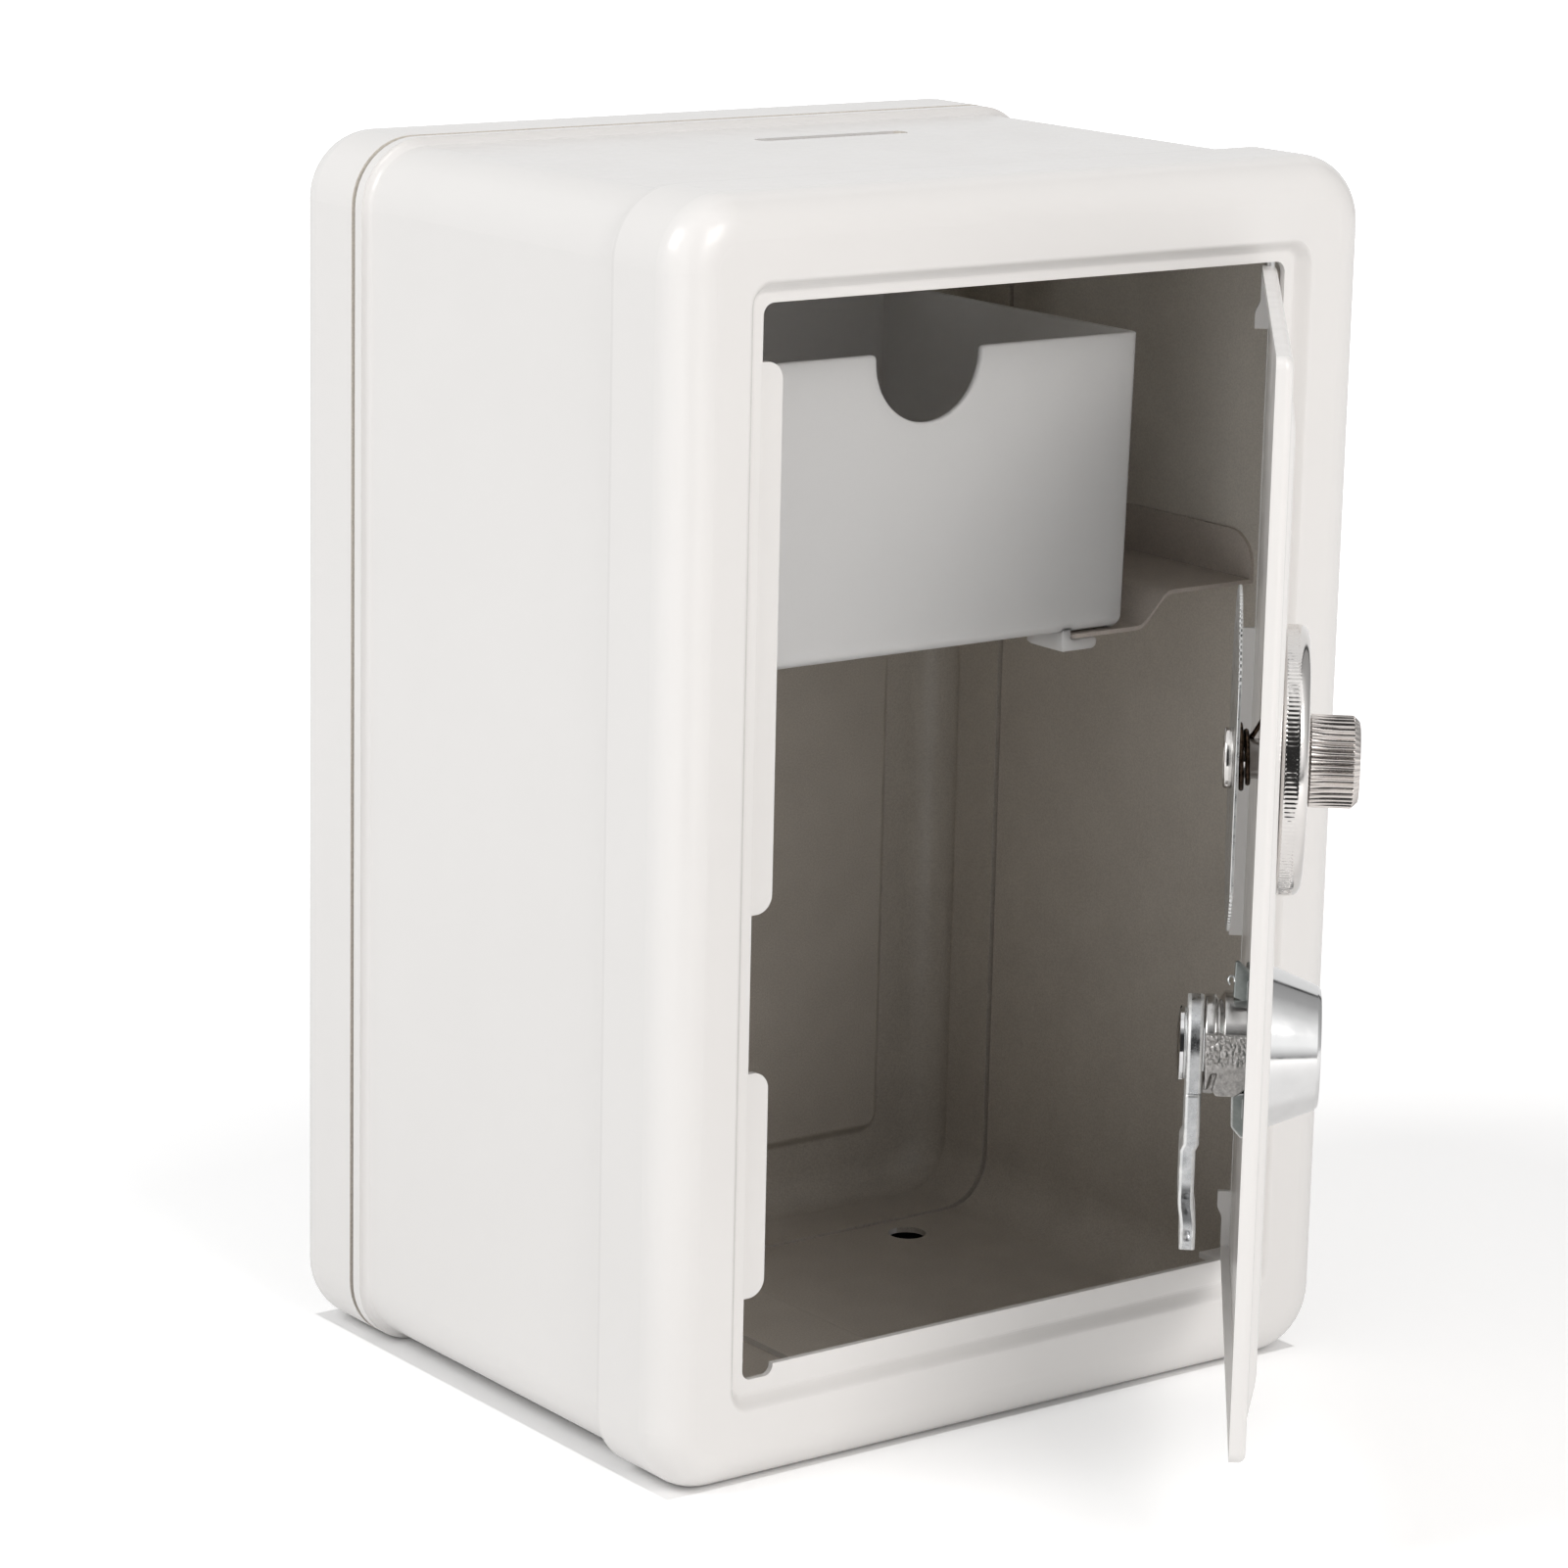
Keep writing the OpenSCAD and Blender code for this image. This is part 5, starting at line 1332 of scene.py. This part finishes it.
class COINBANK_OT_studio(bpy.types.Operator):
    """Sets the camera, the lamps, the floor and the white surroundings"""
    bl_idname = "coinbank.studio"
    bl_label = "Studio"

    def execute(self, context):
        settings = context.scene.coinbank_studio
        self.camera(context, settings)
        self.floor(context, settings)
        self.surroundings(context, settings)
        side = settings.lamp_side
        self.lamp(context, "left_lamp", (-0.775, 0.115, 0.62), settings.left_lamp, side)
        front = self.lamp(context, "front_lamp", (-0.03, -0.813, 0.581), settings.front_lamp, side)
        low = self.lamp(context, "low_lamp", (-0.10, -0.97, 0.20), settings.low_lamp, 1.5 * side)
        low.visible_glossy = False
        front.data.color = low.data.color = settings.warmth
        return {"FINISHED"}

    def camera(self, context, settings):
        """A camera whose right is made square to its direction, and whose up is their product."""
        ahead = Vector(settings.camera_ahead).normalized()
        right = Vector(settings.camera_right)
        right = (right - ahead * right.dot(ahead)).normalized()
        up = right.cross(ahead)
        lens = bpy.data.cameras.new("camera")
        lens.lens = settings.camera_lens
        lens.sensor_width = 36
        lens.sensor_fit = "HORIZONTAL"
        lens.clip_start = 0.01
        camera = bpy.data.objects.new("camera", lens)
        context.scene.collection.objects.link(camera)
        camera.matrix_world = Matrix((
            (right.x, up.x, -ahead.x, settings.camera_place[0]),
            (right.y, up.y, -ahead.y, settings.camera_place[1]),
            (right.z, up.z, -ahead.z, settings.camera_place[2]),
            (0, 0, 0, 1)))
        context.scene.camera = camera

    def lamp(self, context, name, direction, watts, side):
        """A square lamp in the given direction from the safe's middle, and aimed at it."""
        middle, distance = Vector((0.0, 0.03, 0.09)), 0.85
        direction = Vector(direction).normalized()
        light = bpy.data.lights.new(name, "AREA")
        light.shape = "SQUARE"
        light.size = side
        light.energy = watts
        lamp = bpy.data.objects.new(name, light)
        context.scene.collection.objects.link(lamp)
        lamp.matrix_world = Matrix.Translation(middle + direction * distance) \
            @ direction.to_track_quat("Z", "Y").to_matrix().to_4x4()
        return lamp

    def floor(self, context, settings):
        """White paper: it keeps its shadows, and away from the object it shows pure white.

        In mirrors it is greyer, ends in front like a table, and is dark where the camera stands.
        Beneath the safe it is painted black as a painted shadow, so that the floor's holes show dark.
        """
        mesh = bpy.data.meshes.new("floor")
        mesh.from_pydata([(-3, -3, 0), (3, -3, 0), (3, 3, 0), (-3, 3, 0)], [], [(0, 1, 2, 3)])
        floor = bpy.data.objects.new("floor", mesh)
        context.scene.collection.objects.link(floor)
        finish = Finish("floor")
        seen = finish.add("LightPath").outputs
        mirror = seen["Is Glossy Ray"]
        view = finish.math("ADD", seen["Is Camera Ray"], seen["Is Transmission Ray"], clamp=True)
        view = finish.math("ADD", view, finish.math("MULTIPLY", mirror, 0.35), clamp=True)
        far = finish.size_of(finish.place)
        place = finish.add("SeparateXYZ", {0: finish.place}).outputs
        aside = finish.math("ABSOLUTE", place["X"])
        away = finish.math("ABSOLUTE", finish.math("SUBTRACT", place["Y"], MIDDLE_Y))
        beneath = finish.math("MULTIPLY", finish.math("LESS_THAN", aside, 58 * MM),
                              finish.math("LESS_THAN", away, 46.5 * MM))
        open_air = finish.math("SUBTRACT", 1.0, beneath)
        # Painted shadow: the floor's colour is black beneath the safe, where its own shadow lies
        painted_shadow_x = finish.between(aside, 1.0, 0.0, 46 * MM, 52 * MM)
        painted_shadow_y = finish.between(away, 1.0, 0.0, 29 * MM, 33 * MM)
        finish.set(base_color=finish.mix(finish.math("MULTIPLY", painted_shadow_x, painted_shadow_y),
                                         tuple(settings.floor_colour), (0.02, 0.02, 0.02)),
                   roughness=1.0, specular_ior_level=0.0)
        lift = finish.math("MULTIPLY", finish.between(far, settings.floor_lift, 1.0, 0.16, 0.5), open_air)
        glow = finish.add("Emission", {"Color": (1, 1, 1),
                                       "Strength": finish.math("MULTIPLY", view, lift)})
        both = finish.add("AddShader", {0: finish.shader.outputs[0], 1: glow.outputs[0]})
        from_dial = finish.add("VectorMath", {0: finish.place, 1: tuple(DIAL.origin)},
                               operation="SUBTRACT").outputs["Vector"]
        toward = finish.dot(from_dial, CAMERA_SIDE)
        across = finish.math("ABSOLUTE", finish.dot(from_dial, (-CAMERA_SIDE[1], CAMERA_SIDE[0], 0)))
        near = finish.between(toward, 0.0, 1.0, 0.28, 0.33, soft=True)
        slim = finish.between(finish.math("DIVIDE", across, finish.math("MAXIMUM", toward, MM)),
                              1.0, 0.0, 0.16, 0.34, soft=True)
        dark = finish.math("MULTIPLY", mirror, finish.math("MULTIPLY", near, slim))
        shade = finish.add("Emission", {"Color": (0.03, 0.03, 0.03), "Strength": 1.0})
        both = finish.add("MixShader", {0: dark, 1: both.outputs[0], 2: shade.outputs[0]})
        table_edge = -0.85
        past = finish.math("MULTIPLY", mirror, finish.math("LESS_THAN", place["Y"], table_edge))
        clear = finish.add("BsdfTransparent")
        both = finish.add("MixShader", {0: past, 1: both.outputs[0], 2: clear.outputs[0]})
        finish.tree.links.new(both.outputs[0],
                              finish.tree.nodes["Material Output"].inputs["Surface"])
        mesh.materials.append(finish.material)

    def surroundings(self, context, settings):
        """White to the camera and to glass, a soft even light to all else, and a studio to mirrors.

        In front, mirrors see a dark table edge, a soft box above it and a strip light at the top.
        Where the camera stands they see it dark, with a softer light over it.
        """
        world = bpy.data.worlds.new("world")
        context.scene.world = world
        world.use_nodes = True
        graph = Graph(world.node_tree)
        seen = graph.add("LightPath").outputs
        ray = graph.add("TexCoord").outputs["Generated"]
        upwards = graph.add("SeparateXYZ", {0: ray}).outputs["Z"]
        rise = graph.math("MULTIPLY", graph.math("ARCSINE", upwards), 180 / math.pi)
        flat = graph.add("VectorMath", {0: ray, 1: (1, 1, 0)}, operation="MULTIPLY").outputs["Vector"]
        flat = graph.add("VectorMath", {0: flat}, operation="NORMALIZE").outputs["Vector"]
        apart = graph.add("SeparateXYZ", {0: flat}).outputs
        turn = graph.math("MULTIPLY", graph.math("ARCTAN2", graph.math("MULTIPLY", apart["X"], -1.0),
                                                 graph.math("MULTIPLY", apart["Y"], -1.0)), 180 / math.pi)
        round_about = graph.steps(turn, ((-180, 0.9), (-107.5, 0.85), (-106.5, 0.03), (-102, 0.03),
                                         (-101, 0.36), (-67, 0.45), (-33, 0.8), (-14, 1.2), (6, 1.2),
                                         (15, 1.0), (180, 1.0)))
        in_front = graph.between(graph.dot(flat, (0.0, -1.0, 0)), 0.0, 1.0, 0.84, 0.93, soft=True)
        at_camera = graph.between(graph.dot(flat, CAMERA_SIDE), 0.0, 1.0, 0.945, 0.985, soft=True)
        front = graph.steps(rise, ((-90, 0.66), (-4.9, 0.66), (-4.7, 0.03), (-3.6, 0.03), (-3.2, 0.3),
                                   (5, 0.75), (13, 1.0), (90, 1.0)))
        camera = graph.steps(rise, ((-90, 0.03), (40, 0.03), (48, 0.3), (58, 0.5), (62, 1.1),
                                    (80, 1.1), (90, 0.8)))
        studio = graph.math("MULTIPLY", round_about, graph.blend(in_front, 1.0, front))
        studio = graph.blend(at_camera, studio, camera)
        clear = graph.math("MAXIMUM", seen["Is Camera Ray"], seen["Is Transmission Ray"])
        level = graph.blend(clear, settings.sky, 1.0)
        level = graph.blend(seen["Is Glossy Ray"], level, studio)
        graph.put(world.node_tree.nodes["Background"].inputs["Strength"], level)
        world.node_tree.nodes["Background"].inputs["Color"].default_value = (1, 1, 1, 1)
        context.scene.view_settings.view_transform = "Standard"


class COINBANK_PT_panel(bpy.types.Panel):
    """Lists the pieces"""
    bl_label = "Coin Bank"
    bl_space_type = "VIEW_3D"
    bl_region_type = "UI"
    bl_category = "Coin Bank"

    def draw(self, context):
        for operator in OPERATORS:
            self.layout.operator(operator.bl_idname)


OPERATORS = (COINBANK_OT_studio, COINBANK_OT_finishes, COINBANK_OT_door, COINBANK_OT_dial,
             COINBANK_OT_knob, COINBANK_OT_spring, COINBANK_OT_locking_disc, COINBANK_OT_key_lock,
             COINBANK_OT_cam, COINBANK_OT_tray)
SETTINGS = {"coinbank_studio": StudioSettings, "coinbank_paint": PaintSettings,
            "coinbank_door": DoorSettings, "coinbank_dial": DialSettings, "coinbank_lock": LockSettings,
            "coinbank_tray": TraySettings}


def register():
    for group in SETTINGS.values():
        bpy.utils.register_class(group)
    for name, group in SETTINGS.items():
        setattr(bpy.types.Scene, name, bpy.props.PointerProperty(type=group))
    for operator in OPERATORS:
        bpy.utils.register_class(operator)
    bpy.utils.register_class(COINBANK_PT_panel)


def unregister():
    bpy.utils.unregister_class(COINBANK_PT_panel)
    for operator in reversed(OPERATORS):
        bpy.utils.unregister_class(operator)
    for name in SETTINGS:
        delattr(bpy.types.Scene, name)
    for group in SETTINGS.values():
        bpy.utils.unregister_class(group)


def main():
    register()
    bpy.ops.coinbank.studio()
    bpy.ops.coinbank.finishes()
    bpy.ops.coinbank.door()
    bpy.ops.coinbank.dial()
    bpy.ops.coinbank.knob()
    bpy.ops.coinbank.spring()
    bpy.ops.coinbank.locking_disc()
    bpy.ops.coinbank.key_lock()
    bpy.ops.coinbank.cam()
    bpy.ops.coinbank.tray()
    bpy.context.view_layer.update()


if __name__ == "__main__":
    main()
